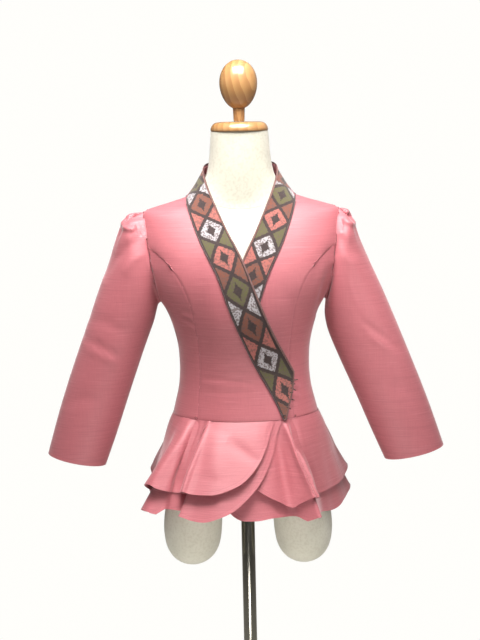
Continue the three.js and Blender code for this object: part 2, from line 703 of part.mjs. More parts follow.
// Every tier and every cut shares these columns, so that the layers hang clear of one another.
const PEPLUM_SPANS = [
  { from: -90, to: -60, columns: 8 },
  { from: -60, to: -46.5, columns: 6 },
  { from: -46.5, to: -34.5, columns: 8 },
  { from: -34.5, to: -30, columns: 2 },
  { from: -30, to: 30, columns: 20 },
  { from: 30, to: 45, columns: 10 },
  { from: 45, to: 90, columns: 12 },
  { from: 90, to: 270, columns: 44 },
];
const peplumTurns = PEPLUM_SPANS.flatMap(({ from, to, columns }) =>
  [...Array(columns).keys()].map((j) => mix(from, to, j / columns)),
);
peplumTurns.push(270);

// The peplum's surface at degrees of turn from the centre front, a length of cloth down from the waist seam.
function peplum(degrees, length, flare) {
  const t = radians(degrees);
  const seamRadius = 1 / sqrt((sin(t) / level.half(WAIST_Z)) ** 2 + (cos(t) / level.front(WAIST_Z)) ** 2);
  const slope = (foldOut(degrees > 180 ? degrees - 360 : degrees) / TIER.upper) * flare(degrees);
  const radius = seamRadius + slope * length;
  return vec(radius * sin(t), -radius * cos(t), WAIST_Z - length * sqrt(1 - slope ** 2));
}

for (const tier of ["upper", "lower"]) {
  for (const cut of ["right", "left", "back"]) {
    const rows = HEMS[tier + "_" + cut];
    const hem = curve(rows, "turn", "length");
    const [from, to] = [rows[0].turn, rows[rows.length - 1].turn];
    const tierFlare = tier === "upper" ? 1 : LOWER_FLARE;
    const flare = (degrees) => tierFlare * (cut === "left" ? underFlare(degrees) : 1);
    const at = (degrees, length) => peplum(degrees, length, flare);
    const lengths = PEPLUM_ROWS.filter((length) => length <= TIER[tier]);
    const grid = peplumTurns
      .filter((degrees) => degrees >= from && degrees <= to)
      .map((degrees) => {
        const spots = lengths.map((length) => {
          const reach = (length * hem(degrees)) / TIER[tier];
          return spotOn(at, degrees, reach, [-400, 400], [0, 200], -1);
        });
        const lift = cut === "right" ? wrapLift(spots[0].p) : 0;
        return spots.map((s) => ({ ...s, lift }));
      });
    const hang = tier === "upper" ? 0 : -TIER_LAYER;
    wall("peplum_" + tier + "_" + cut, trimmed(grid, { columns: false }), hang, CLOTH, SILK);
  }
}

// ---- Dress form and stand ------------------------------------------------------------------------------------
// A closed solid through rings of points, the first and last capped by one point each.
function lofted(rings, foot, head) {
  const around = rings[0].length;
  const points = [...rings.flat(), foot, head];
  const index = [];
  for (let i = 0; i < rings.length - 1; i++) {
    for (let j = 0; j < around; j++) {
      const [a, b] = [i * around + j, i * around + ((j + 1) % around)];
      index.push(a, b, b + around, a, b + around, a + around);
    }
  }
  const lastRing = (rings.length - 1) * around;
  for (let j = 0; j < around; j++) {
    const next = (j + 1) % around;
    index.push(points.length - 2, next, j);
    index.push(points.length - 1, lastRing + j, lastRing + next);
  }
  return { points, index };
}

function solid({ points, index }) {
  if (signedVolume(points, index) < 0) {
    for (let i = 0; i < index.length; i += 3) [index[i], index[i + 1]] = [index[i + 1], index[i]];
  }
  const vertProperties = new Float32Array(points.flatMap((p) => [p.x, p.y, p.z]));
  return new wasm.Manifold(new wasm.Mesh({ numProp: 3, vertProperties, triVerts: new Uint32Array(index) }));
}

function solidOfGeometry(geometry) {
  const bare = geometry.clone();
  bare.deleteAttribute("normal");
  bare.deleteAttribute("uv");
  const merged = mergeVertices(bare);
  const vertProperties = merged.attributes.position.array;
  const triVerts = new Uint32Array(merged.index.array);
  return new wasm.Manifold(new wasm.Mesh({ numProp: 3, vertProperties, triVerts }));
}

function geometryOf(manifold) {
  const mesh = manifold.getMesh();
  const geometry = new THREE.BufferGeometry();
  geometry.setAttribute("position", new THREE.BufferAttribute(mesh.vertProperties, 3));
  geometry.setIndex(new THREE.BufferAttribute(mesh.triVerts, 1));
  geometry.computeVertexNormals();
  return geometry;
}

const FORM_AROUND = 28;
const FORM_LEVELS = [
  750, 795, 850, 905, 950, 990, 1030, 1070, 1110, 1150, 1190, 1225, 1252, 1270, 1280, 1288, 1298, 1309, 1324, 1345,
  1375, NECK_TOP_Z,
];
const PELVIS = [
  { z: 724, share: 0.45 },
  { z: 729, share: 0.75 },
  { z: 738, share: 0.93 },
];
const PELVIS_FOOT_Z = 721;

function formRing(z) {
  return [...Array(FORM_AROUND).keys()].map((j) => {
    const s = figureSpot((j / FORM_AROUND) * 2 * PI, z);
    return s.p.addScaledVector(s.n, -EASE - 3 * (1 - smooth(abs(z - SHOULDER_TIP_Z) / 35)));
  });
}

const pelvisRing = (z, share) => formRing(FORM_LEVELS[0]).map((p) => vec(p.x * share, p.y * share, z));

const torsoRings = [
  ...PELVIS.map((row) => pelvisRing(row.z, row.share)),
  ...FORM_LEVELS.map((z) => formRing(z)),
];
let form = solid(lofted(torsoRings, vec(0, 0, PELVIS_FOOT_Z), vec(0, 0, NECK_TOP_Z)));
const THIGH_AROUND = 18;
for (const side of [-1, 1]) {
  const rings = THIGH.map((row) =>
    [...Array(THIGH_AROUND).keys()].map((j) => {
      const t = (j / THIGH_AROUND) * 2 * PI;
      return vec(side * row.x + row.half * cos(t), row.depth * sin(t), row.z);
    }),
  );
  const top = THIGH[0];
  const thigh = solid(lofted(rings, vec(side * top.x, 0, top.z), vec(side * 105, 0, THIGH_END_Z)));
  form = form.add(thigh);
}
const socket = new THREE.CylinderGeometry(POLE.radius + SEAM_GAP, POLE.radius + SEAM_GAP, 200, 24);
socket.rotateX(PI / 2).translate(0, 0, POLE.top + SEAM_GAP - 100);
form = form.subtract(solidOfGeometry(socket));
addGeometry("form_torso", geometryOf(form), CREAM);

function turned(name, profile, z, sides, finish) {
  const lathe = new THREE.LatheGeometry(profile.map(([r, h]) => new THREE.Vector2(r, h)), sides);
  lathe.rotateX(PI / 2).translate(0, 0, z);
  return addGeometry(name, lathe, finish);
}

const capZ = NECK_TOP_Z + SEAM_GAP;
const { radius: capR, thick } = NECK_CAP;
const capProfile = [
  [0, 0],
  [capR - 1, 0],
  [capR, 1.5],
  [capR, 5],
  [capR - 2, 10],
  [capR - 6, 14.5],
  [capR - 12, thick],
  [0, thick],
];
turned("neck_cap", capProfile, capZ, 28, WOOD);

// The finial's knob is an egg, fullest a little above its middle, with its foot sunk on the stem.
const finialProfile = [[0, 0], [FINIAL.stem - 1, 0], [FINIAL.stem, FINIAL.stemHeight]];
const KNOB_STEPS = 12;
for (let i = 2; i < KNOB_STEPS; i++) {
  const t = (i / KNOB_STEPS) * PI;
  const radius = FINIAL.radius * sin(t) * (1 - 0.08 * cos(t));
  finialProfile.push([radius, FINIAL.stemHeight - 4 + (FINIAL.height / 2) * (1 - cos(t))]);
}
finialProfile.push([0, FINIAL.stemHeight - 4 + FINIAL.height]);
turned("finial", finialProfile, capZ + thick + SEAM_GAP, 20, WOOD);

const baseProfile = [
  [0, 0],
  [BASE.radius - 2, 0],
  [BASE.radius, 2],
  [BASE.radius, BASE.rim],
  [BASE.radius - 6, BASE.rim + 3],
  [BASE.hub + 12, BASE.rise],
  [BASE.hub, BASE.rise + 5],
  [BASE.hub - 2, BASE.height],
  [POLE.radius + SEAM_GAP, BASE.height],
  [POLE.radius + SEAM_GAP, BASE.rise],
  [0, BASE.rise],
];
turned("stand_base", baseProfile, 0, 36, CHROME);

const poleFoot = BASE.rise + SEAM_GAP;
const pole = new THREE.CylinderGeometry(POLE.radius, POLE.radius, POLE.top - poleFoot, 24);
pole.rotateX(PI / 2).translate(0, 0, (POLE.top + poleFoot) / 2);
addGeometry("stand_pole", pole, CHROME);

export default group;
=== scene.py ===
import math

import bmesh
import bpy
import numpy as np
from mathutils import Matrix, Vector
from mathutils.bvhtree import BVHTree
from mathutils.kdtree import KDTree


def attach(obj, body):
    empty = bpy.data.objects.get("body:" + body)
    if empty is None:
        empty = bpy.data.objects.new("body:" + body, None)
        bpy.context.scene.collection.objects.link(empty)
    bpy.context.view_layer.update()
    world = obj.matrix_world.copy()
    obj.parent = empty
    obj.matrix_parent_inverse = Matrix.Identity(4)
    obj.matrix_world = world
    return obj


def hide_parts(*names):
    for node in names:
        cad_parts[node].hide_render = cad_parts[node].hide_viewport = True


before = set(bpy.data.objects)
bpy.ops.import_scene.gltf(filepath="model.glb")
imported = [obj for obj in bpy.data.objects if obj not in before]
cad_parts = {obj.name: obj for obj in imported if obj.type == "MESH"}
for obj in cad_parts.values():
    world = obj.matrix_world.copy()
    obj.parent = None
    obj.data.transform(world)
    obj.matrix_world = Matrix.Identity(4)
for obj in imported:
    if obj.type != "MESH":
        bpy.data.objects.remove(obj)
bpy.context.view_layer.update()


# ---- Camera --------------------------------------------------------------------------------------
# In front of the form and level with its neck, looking a little down, with the horizon tipped a degree.
CAMERA_PLACE = (-0.0065, -2.30, 1.45)
CAMERA_DOWN = 9.25
CAMERA_TIPPED = -1.3

camera_data = bpy.data.cameras.new("camera")
camera_data.sensor_width = 36
camera_data.lens = 70.8
camera = bpy.data.objects.new("camera", camera_data)
bpy.context.scene.collection.objects.link(camera)
camera.matrix_world = (
    Matrix.Translation(CAMERA_PLACE)
    @ Matrix.Rotation(math.radians(90 - CAMERA_DOWN), 4, "X")
    @ Matrix.Rotation(math.radians(CAMERA_TIPPED), 4, "Z")
)
bpy.context.scene.camera = camera
bpy.context.scene.view_settings.view_transform = "Standard"


# ---- Room and light ------------------------------------------------------------------------------
# A white studio: a pale floor, a white surround and soft light. Most of it comes from above, and a little
# from both sides, from low down and from the front.
def tone(red, green, blue):
    """A colour given in the eye's scale, 0 to 255, as the shader wants it."""
    linear = [v / 255 / 12.92 if v <= 10 else ((v / 255 + 0.055) / 1.055) ** 2.4 for v in (red, green, blue)]
    return (*linear, 1)


def add(material, kind, inputs=None, **settings):
    """Adds a node. Its inputs are named or numbered, and each is a value or another node's socket."""
    made = material.node_tree.nodes.new("ShaderNode" + kind)
    for name, value in settings.items():
        setattr(made, name, value)
    for name, value in (inputs or {}).items():
        if isinstance(value, bpy.types.NodeSocket):
            material.node_tree.links.new(value, made.inputs[name])
        else:
            made.inputs[name].default_value = value
    return made


def sum_of(material, operation, first, second=0.0, third=0.0):
    """The result of one step of arithmetic."""
    made = add(material, "Math", {0: first, 1: second}, operation=operation)
    if operation in ("MULTIPLY_ADD", "COMPARE"):
        if isinstance(third, bpy.types.NodeSocket):
            material.node_tree.links.new(third, made.inputs[2])
        else:
            made.inputs[2].default_value = third
    return made.outputs[0]


def blended(material, share, low, high):
    """One colour laid over another by a share from 0 to 1."""
    made = add(material, "Mix", {0: share, 6: low, 7: high}, data_type="RGBA")
    return made.outputs[2]


def ramp(material, value, low, high):
    """0 below low and 1 above high, smooth between."""
    made = add(material, "MapRange", {0: value, 1: low, 2: high}, interpolation_type="SMOOTHSTEP")
    return made.outputs[0]


def new_finish(name, **sockets):
    """A material with one surface shader, its sockets set, and the shader's node."""
    material = bpy.data.materials.new(name)
    material.use_nodes = True
    material.node_tree.nodes.clear()
    shader = add(material, "BsdfPrincipled", {k.replace("_", " "): v for k, v in sockets.items()})
    out = add(material, "OutputMaterial")
    material.node_tree.links.new(shader.outputs[0], out.inputs[0])
    return material, shader


def plug_in(material, shader, socket, source):
    material.node_tree.links.new(source, shader.inputs[socket])


def spots(material, place, stretch, size, detail=2.0, turn=(0, 0, 0)):
    """Soft noise, with its grain stretched along the axes and turned; size is grains to the metre."""
    laid = add(material, "Mapping", {"Vector": place, "Scale": stretch, "Rotation": turn})
    noise = add(material, "TexNoise", {"Vector": laid.outputs[0], "Scale": size, "Detail": detail})
    return noise.outputs[0]


room_paint, room_shader = new_finish("floor_paint", Roughness=0.9)
room_place = add(room_paint, "TexCoord").outputs["Object"]
room_spots = spots(room_paint, room_place, (1, 1, 1), 0.6)
room_base = blended(room_paint, room_spots, tone(236, 234, 226), tone(244, 242, 236))
plug_in(room_paint, room_shader, "Base Color", room_base)
ROOM_WHITE = (1, 0.994, 0.965)
glow = add(room_paint, "Emission", {0: (*ROOM_WHITE, 1), 1: 1.0})
eye = add(room_paint, "LightPath").outputs["Is Camera Ray"]
from_foot = add(room_paint, "VectorMath", {0: room_place}, operation="LENGTH").outputs["Value"]
far = ramp(room_paint, from_foot, 0.25, 1.0)
# The floor is seen as white as the wall, but near the foot it keeps a quarter of its shadow.
room_share = sum_of(room_paint, "MULTIPLY", eye, sum_of(room_paint, "MULTIPLY_ADD", far, 0.25, 0.75))
room_mix = add(room_paint, "MixShader", {0: room_share, 1: room_shader.outputs[0], 2: glow.outputs[0]})
room_out = next(node for node in room_paint.node_tree.nodes if node.type == "OUTPUT_MATERIAL")
room_paint.node_tree.links.new(room_mix.outputs[0], room_out.inputs[0])
bpy.ops.object.select_all(action="DESELECT")
bpy.ops.mesh.primitive_circle_add(vertices=96, radius=40, fill_type="NGON", location=(0, 0, 0))
floor = bpy.context.object
floor.name = "floor"
floor.data.materials.append(room_paint)

world = bpy.data.worlds.new("white_room")
bpy.context.scene.world = world
world.use_nodes = True
world.node_tree.nodes.clear()


def room_tone(colour, strength):
    made = world.node_tree.nodes.new("ShaderNodeBackground")
    made.inputs["Color"].default_value = (*colour, 1)
    made.inputs["Strength"].default_value = strength
    return made


def either(share, first, second):
    made = world.node_tree.nodes.new("ShaderNodeMixShader")
    for socket, source in zip(made.inputs, (share, first, second)):
        world.node_tree.links.new(source, socket)
    return made.outputs[0]


# The white wall that is seen, the dim room that lights the cloth, and the one that polished things mirror.
seen = room_tone(ROOM_WHITE, 1.0)
lighting = room_tone((1, 0.985, 0.96), 0.18)
mirrored = room_tone((1, 0.97, 0.92), 0.6)
# Bright and dark screens that polished things mirror: places from left to right, and their greys.
SCREENS = (
    (0.0, 0.5),
    (0.2, 0.05),
    (0.42, 0.12),
    (0.5, 0.35),
    (0.56, 1.0),
    (0.66, 0.3),
    (0.8, 0.7),
    (1.0, 0.1),
)
room_way = world.node_tree.nodes.new("ShaderNodeTexCoord")
room_parts = world.node_tree.nodes.new("ShaderNodeSeparateXYZ")
world.node_tree.links.new(room_way.outputs["Generated"], room_parts.inputs[0])
shifted = world.node_tree.nodes.new("ShaderNodeMath")
shifted.operation = "MULTIPLY_ADD"
shifted.inputs[1].default_value = shifted.inputs[2].default_value = 0.5
world.node_tree.links.new(room_parts.outputs[0], shifted.inputs[0])
screens = world.node_tree.nodes.new("ShaderNodeValToRGB")
screen_stops = screens.color_ramp.elements
for place, grey in SCREENS:
    at_end = {0.0: 0, 1.0: len(screen_stops) - 1}.get(place)
    stop = screen_stops.new(place) if at_end is None else screen_stops[at_end]
    stop.color = (grey, grey, grey, 1)
world.node_tree.links.new(shifted.outputs[0], screens.inputs[0])
world.node_tree.links.new(screens.outputs[0], mirrored.inputs["Color"])
path = world.node_tree.nodes.new("ShaderNodeLightPath")
out_of_sight = either(path.outputs["Is Glossy Ray"], lighting.outputs[0], mirrored.outputs[0])
world_out = world.node_tree.nodes.new("ShaderNodeOutputWorld")
whole_room = either(path.outputs["Is Camera Ray"], out_of_sight, seen.outputs[0])
world.node_tree.links.new(whole_room, world_out.inputs[0])


def soft_light(name, place, target, size, power, spread=180):
    """A panel of light from a place towards a target, in metres, with its width and height, its power in
    watts and its spread in degrees."""
    data = bpy.data.lights.new(name, "AREA")
    data.shape = "RECTANGLE"
    data.size, data.size_y = size
    data.energy = power
    data.spread = math.radians(spread)
    data.color = (1, 0.98, 0.95)
    lamp = bpy.data.objects.new(name, data)
    bpy.context.scene.collection.objects.link(lamp)
    lamp.location = place
    lamp.rotation_euler = (Vector(target) - Vector(place)).to_track_quat("-Z", "Y").to_euler()


soft_light("light_above", (0.0, -0.44, 2.18), (0, 0, 1.1), (0.9, 0.6), 39)
soft_light("light_right", (2.3, -0.9, 1.9), (0, 0, 1.05), (1.2, 1.6), 3)
soft_light("light_left", (-2.3, -0.9, 1.9), (0, 0, 1.05), (1.2, 1.6), 3)
soft_light("light_low", (0.0, -1.3, 0.2), (0, 0, 0.66), (0.5, 0.3), 0.7, spread=40)
soft_light("light_front", (1.5, -1.9, 1.4), (0.08, 0, 1.03), (0.3, 0.3), 0.12, spread=12)


# ---- Dress form ----------------------------------------------------------------------------------
# A small woman's torso of moulded fibreglass, padded and covered in matt cream cloth that is pulled
# tight. It has no arms and no head, and two rounded stubs of thigh. A seam runs round the neck's base.
SAME_PLACE = 1e-6  # metres; points nearer than this are one point


def separate_copy(node, name):
    """A copy of a CAD node's mesh as a new object, with its loose triangles merged, selected and active."""
    piece = bpy.data.objects.new(name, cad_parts[node].data.copy())
    piece.data.name = name
    piece.data.materials.clear()
    bpy.context.scene.collection.objects.link(piece)
    bpy.ops.object.select_all(action="DESELECT")
    piece.select_set(True)
    bpy.context.view_layer.objects.active = piece
    bpy.ops.mesh.customdata_custom_splitnormals_clear()
    bpy.ops.object.mode_set(mode="EDIT")
    bpy.ops.mesh.select_mode(type="FACE")
    bpy.ops.mesh.select_all(action="SELECT")
    bpy.ops.mesh.remove_doubles(threshold=SAME_PLACE)
    bpy.ops.object.mode_set(mode="OBJECT")
    return piece


def in_quads(bend=40):
    """Joins the active piece's triangles into quads wherever they meet at less than this many degrees."""
    bpy.ops.object.mode_set(mode="EDIT")
    bpy.ops.mesh.select_all(action="SELECT")
    bpy.ops.mesh.tris_convert_to_quads(face_threshold=math.radians(bend), shape_threshold=math.radians(180))
    bpy.ops.object.mode_set(mode="OBJECT")


def edges_kept(piece, bend, weight):
    """Weights the edges that bend more than this many degrees, so that subdivision keeps them."""
    marked = bmesh.new()
    marked.from_mesh(piece.data)
    layer = marked.edges.layers.float.new("crease_edge")
    for edge in marked.edges:
        if edge.calc_face_angle(0) > math.radians(bend):
            edge[layer] = weight
    marked.to_mesh(piece.data)
    marked.free()


def applied(piece, kind, **settings):
    """Adds a modifier to the active piece and applies it."""
    made = piece.modifiers.new(kind.lower(), kind)
    for name, value in settings.items():
        setattr(made, name, value)
    bpy.ops.object.modifier_apply(modifier=made.name)


def stands_for(piece, node, finish):
    """The piece rides on the one body, hides its CAD node and takes its finish."""
    piece.data.materials.clear()
    piece.data.materials.append(finish)
    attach(piece, "root")
    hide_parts(node)


cream, cream_shader = new_finish("cream_cover", Roughness=0.92, Sheen_Weight=0.25, Sheen_Roughness=0.6)
cream_place = add(cream, "TexCoord").outputs["Object"]
cream_crumple = spots(cream, cream_place, (1, 1, 1), 210, 5.0)
cream_mottle = sum_of(cream, "MULTIPLY", ramp(cream, cream_crumple, 0.42, 0.7), 0.4)
cream_cloud = spots(cream, cream_place, (1, 1, 1), 16, 3.0)
cream_base = blended(cream, cream_cloud, tone(194, 191, 176), tone(208, 205, 191))
cream_spotted = blended(cream, cream_mottle, cream_base, tone(176, 169, 151))
NECK_SEAM_Z = 1.2835
NECK_SEAM_RISE = 3.6  # how fast the seam climbs from the throat to the sides of the neck
cream_parts = add(cream, "SeparateXYZ", {0: cream_place})
off_centre = sum_of(cream, "ABSOLUTE", cream_parts.outputs[0])
seam_bow = sum_of(cream, "MULTIPLY", sum_of(cream, "POWER", off_centre, 2.0), NECK_SEAM_RISE)
level = sum_of(cream, "SUBTRACT", cream_parts.outputs[2], seam_bow)
off_seam = sum_of(cream, "ABSOLUTE", sum_of(cream, "SUBTRACT", level, NECK_SEAM_Z))
seam_near = sum_of(cream, "SUBTRACT", 1.0, ramp(cream, off_seam, 0.0004, 0.0013))
seam_share = sum_of(cream, "MULTIPLY", seam_near, 0.35)
plug_in(cream, cream_shader, "Base Color", blended(cream, seam_share, cream_spotted, tone(150, 138, 118)))
cream_weave = spots(cream, cream_place, (1, 1, 1), 1500, 1.0)
cream_height = sum_of(cream, "SUBTRACT", sum_of(cream, "MULTIPLY", cream_weave, 0.25), seam_near)
cream_bump = add(cream, "Bump", {"Strength": 0.5, "Distance": 0.0006, "Height": cream_height})
plug_in(cream, cream_shader, "Normal", cream_bump.outputs[0])

form = separate_copy("form_torso", "dress_form")
in_quads()
edges_kept(form, bend=55, weight=1.0)
applied(form, "SUBSURF", levels=2, render_levels=2)
bpy.ops.object.shade_smooth_by_angle(angle=math.radians(50))
stands_for(form, "form_torso", cream)


# ---- Neck cap and finial -------------------------------------------------------------------------
# Turned hardwood with open grain under clear varnish: a round-edged disc on the neck, and an egg on a
# short stem.
wood, wood_shader = new_finish("varnished_wood", Roughness=0.42, Coat_Weight=0.8, Coat_Roughness=0.08)
wood_place = add(wood, "TexCoord").outputs["Object"]
WOOD_TURN = (0.35, 0.5, 0.2)  # how the block was laid before it was turned
wood_laid = add(
    wood,
    "Mapping",
    {"Vector": wood_place, "Location": (0.045, 0.02, -1.44), "Rotation": WOOD_TURN, "Scale": (1, 1, 0.32)},
)
wood_wobble = add(wood, "TexNoise", {"Vector": wood_laid.outputs[0], "Scale": 22.0, "Detail": 2.0})
wood_bent = add(
    wood, "VectorMath", {0: wood_wobble.outputs["Color"], 1: (0.016, 0.016, 0.016)}, operation="MULTIPLY"
)
wood_way = add(wood, "VectorMath", {0: wood_laid.outputs[0], 1: wood_bent.outputs[0]}, operation="ADD")
wood_rings = add(
    wood,
    "TexWave",
    {"Vector": wood_way.outputs[0], "Scale": 30.0, "Distortion": 1.2, "Detail": 2.0, "Detail Scale": 2.0},
    wave_type="RINGS",
    rings_direction="Z",
    wave_profile="SAW",
)
wood_pores = ramp(wood, spots(wood, wood_place, (1, 1, 0.12), 900, 1.0, WOOD_TURN), 0.55, 0.8)
wood_ring = ramp(wood, wood_rings.outputs["Fac"], 0.05, 0.95)
wood_base = blended(wood, wood_ring, tone(170, 129, 82), tone(151, 108, 64))
wood_dark = blended(wood, sum_of(wood, "MULTIPLY", wood_pores, 0.35), wood_base, tone(160, 108, 62))
plug_in(wood, wood_shader, "Base Color", wood_dark)
wood_bump = add(wood, "Bump", {"Strength": 0.15, "Distance": 0.0003, "Height": wood_pores})
plug_in(wood, wood_shader, "Normal", wood_bump.outputs[0])

for node, name in (("neck_cap", "wood_cap"), ("finial", "wood_finial")):
    turned = separate_copy(node, name)
    in_quads()
    edges_kept(turned, bend=48, weight=0.85)
    applied(turned, "SUBSURF", levels=2, render_levels=2)
    bpy.ops.object.shade_smooth_by_angle(angle=math.radians(40))
    stands_for(turned, node, wood)


# ---- Pole and foot -------------------------------------------------------------------------------
# A chromed steel tube that stands in the form's socket, and a heavy round foot of the same finish.
chrome, chrome_shader = new_finish("chrome", Metallic=1.0)
chrome_place = add(chrome, "TexCoord").outputs["Object"]
chrome_smear = spots(chrome, chrome_place, (1, 1, 0.2), 45, 3.0)
chrome_base = blended(chrome, chrome_smear, tone(112, 110, 102), tone(136, 134, 127))
plug_in(chrome, chrome_shader, "Base Color", chrome_base)
plug_in(chrome, chrome_shader, "Roughness", sum_of(chrome, "MULTIPLY_ADD", chrome_smear, 0.12, 0.1))

for node, name in (("stand_pole", "chrome_pole"), ("stand_base", "chrome_foot")):
    metal = separate_copy(node, name)
    in_quads()
    applied(metal, "BEVEL", width=0.0008, segments=2, angle_limit=math.radians(35), limit_method="ANGLE")
    bpy.ops.object.shade_smooth_by_angle(angle=math.radians(25))
    stands_for(metal, node, chrome)


# ---- Bodice --------------------------------------------------------------------------------------
# Hand-woven silk with thick and thin weft threads, cut in a back, two side fronts and two fronts that
# wrap over each other. The panels are sewn edge to edge, so each seam lies in a shallow valley.
SILK_LIGHT = tone(187, 101, 110)
SILK_DEEP = tone(176, 93, 101)
SILK_WARP = tone(164, 84, 93)
SLUB_PALE = tone(208, 128, 136)
SLUB_DARK = tone(150, 71, 81)
LONG_SLUB_DARK = tone(154, 76, 86)
# Painted shade: the darker silk laid in a thin line along every sewn edge, where the seam valley is shaded.
SEAM_PAINTED_SHADE = tone(128, 50, 62)
HEM_SHADE = tone(150, 66, 78)
HEM_STITCH = 0.0065  # how far the line of hem stitches is from the edge
STITCH_HALF_WIDTH = 0.0011


def silk_finish(name, weft_turn=0.0):
    """The silk, with its weft along X when laid flat, turned about Y by an angle to follow the cut."""
    silk, shader = new_finish(
        name,
        Roughness=0.6,
        Specular_IOR_Level=0.9,
        Sheen_Weight=0.5,
        Sheen_Roughness=0.4,
        Sheen_Tint=(1, 0.82, 0.85, 1),
    )
    place = add(silk, "TexCoord").outputs["Object"]
    turn = (0, math.radians(weft_turn), 0)
    slub = spots(silk, place, (20, 20, 760), 1.0, 1.0, turn)
    long_slub = spots(silk, place, (7, 7, 330), 1.0, 1.0, turn)
    warp = spots(silk, place, (620, 620, 12), 1.0, 1.0, turn)
    cloud = spots(silk, place, (5, 5, 9), 1.0, 2.0, turn)
    base = blended(silk, cloud, SILK_DEEP, SILK_LIGHT)
    warped = blended(silk, sum_of(silk, "MULTIPLY", ramp(silk, warp, 0.3, 0.75), 0.3), base, SILK_WARP)
    thin = blended(silk, sum_of(silk, "MULTIPLY", ramp(silk, slub, 0.56, 0.74), 0.3), warped, SLUB_DARK)
    pale = sum_of(silk, "SUBTRACT", 1.0, ramp(silk, slub, 0.27, 0.42))
    thick = blended(silk, sum_of(silk, "MULTIPLY", pale, 0.25), thin, SLUB_PALE)
    long_share = sum_of(silk, "MULTIPLY", ramp(silk, long_slub, 0.56, 0.7), 0.22)
    lined = blended(silk, long_share, thick, LONG_SLUB_DARK)
    seam_way = add(silk, "Attribute", attribute_name="seam_way").outputs["Fac"]
    hem_way = add(silk, "Attribute", attribute_name="hem_way").outputs["Fac"]
    # Painted shade: the cloth is darkened within a stitch's width of its sewn edges, as the seam valley would
    # be shaded.
    painted_seam_shade = sum_of(silk, "SUBTRACT", 1.0, ramp(silk, seam_way, 0.0, STITCH_HALF_WIDTH))
    stitched = sum_of(silk, "ABSOLUTE", sum_of(silk, "SUBTRACT", hem_way, HEM_STITCH))
    hem_line = sum_of(silk, "SUBTRACT", 1.0, ramp(silk, stitched, 0.0002, STITCH_HALF_WIDTH))
    sewn = blended(silk, sum_of(silk, "MULTIPLY", painted_seam_shade, 0.4), lined, SEAM_PAINTED_SHADE)
    hemmed = blended(silk, sum_of(silk, "MULTIPLY", hem_line, 0.16), sewn, HEM_SHADE)
    plug_in(silk, shader, "Base Color", hemmed)
    weft_thread = spots(silk, place, (60, 60, 1500), 1.0, 0.0, turn)
    warp_thread = spots(silk, place, (1700, 1700, 60), 1.0, 0.0, turn)
    woven = sum_of(silk, "MULTIPLY", sum_of(silk, "ADD", weft_thread, warp_thread), 0.35)
    raised = sum_of(silk, "ADD", woven, ramp(silk, slub, 0.5, 0.8))
    sunk = sum_of(silk, "SUBTRACT", raised, sum_of(silk, "MULTIPLY", hem_line, 1.2))
    bump = add(silk, "Bump", {"Strength": 0.22, "Distance": 0.0005, "Height": sunk})
    plug_in(silk, shader, "Normal", bump.outputs[0])
    plug_in(silk, shader, "Roughness", sum_of(silk, "MULTIPLY_ADD", slub, 0.12, 0.52))
    return silk


bodice_silk = silk_finish("silk_bodice")
HEADS_ABOVE = 1.2  # the sleeve heads lie above this height, and the slits in their folds are closed
WALL_REACH = 0.0026  # farther than any wall of cloth is thick
BELOW_FACE = 1e-5  # how far inside a face the look through its wall begins
CORNER_BEND = math.radians(35)  # a border that turns more than this has a corner there
CLOTH_THICK = 0.0009
CLOTH_SMOOTH = math.radians(55)  # cloth that turns less than this is shaded smooth
EDGE_EASE = 0.006  # how far a sewn edge is eased to meet its neighbour
SEAM_DRAWN = 0.0002  # how far a sewn edge is drawn towards the next piece


def outer_face(node, name, middle):
    """The outer face of a cloth node's thin wall as a sheet in quads, with the corners of its border pinned.
    middle(point) is the point on the body's middle line that belongs to a point of the cloth."""
    sheet = separate_copy(node, name)
    bpy.ops.object.mode_set(mode="EDIT")
    wall = bmesh.from_edit_mesh(sheet.data)
    wall.normal_update()
    tree = BVHTree.FromBMesh(wall)
    for face in wall.faces:
        centre, normal = face.calc_center_median(), face.normal
        through = tree.ray_cast(centre - normal * BELOW_FACE, -normal, WALL_REACH)
        face.select_set(through[0] is None or normal.dot(centre - middle(centre)) <= 0)
    bmesh.update_edit_mesh(sheet.data)
    bpy.ops.mesh.delete(type="FACE")
    for face in wall.faces:
        face.select_set(face.calc_center_median().z > HEADS_ABOVE)
    bmesh.update_edit_mesh(sheet.data)
    bpy.ops.mesh.fill_holes(sides=0)
    in_quads(70)
    border = bmesh.new()
    border.from_mesh(sheet.data)
    pin = border.verts.layers.float.new("crease_vert")
    for vert in border.verts:
        ends = [edge.other_vert(vert).co for edge in vert.link_edges if edge.is_boundary]
        if len(ends) == 2 and (vert.co - ends[0]).angle(ends[1] - vert.co, 0) > CORNER_BEND:
            vert[pin] = 1
    border.to_mesh(sheet.data)
    border.free()
    return sheet


def on_axis(point):
    """The place on the body's upright middle line at the point's height."""
    return Vector((0, 0, point.z))


def points_of(sheet):
    flat = np.empty(len(sheet.data.vertices) * 3, np.float64)
    sheet.data.vertices.foreach_get("co", flat)
    return flat.reshape(-1, 3)


def normals_of(sheet):
    flat = np.empty(len(sheet.data.vertices) * 3, np.float64)
    sheet.data.vertices.foreach_get("normal", flat)
    return flat.reshape(-1, 3)


def put_points(sheet, points):
    sheet.data.vertices.foreach_set("co", points.astype(np.float32).ravel())
    sheet.data.update()


def way_to(points, starts, ends):
    """Each point's distance to the nearest of many short segments, each taken as four places along it."""
    shares = (0.0, 0.25, 0.5, 0.75)
    tree = KDTree(len(starts) * len(shares))
    for i, (a, b) in enumerate(zip(starts, ends)):
        for k, share in enumerate(shares):
            tree.insert(a + (b - a) * share, i * len(shares) + k)
    tree.balance()
    return np.array([tree.find(point)[2] for point in points])


def rims_of(sheet):
    """The edges that belong to one face only, each as a pair of vertex numbers."""
    counts = {}
    for polygon in sheet.data.polygons:
        for key in polygon.edge_keys:
            counts[key] = counts.get(key, 0) + 1
    return [key for key, count in counts.items() if count == 1]


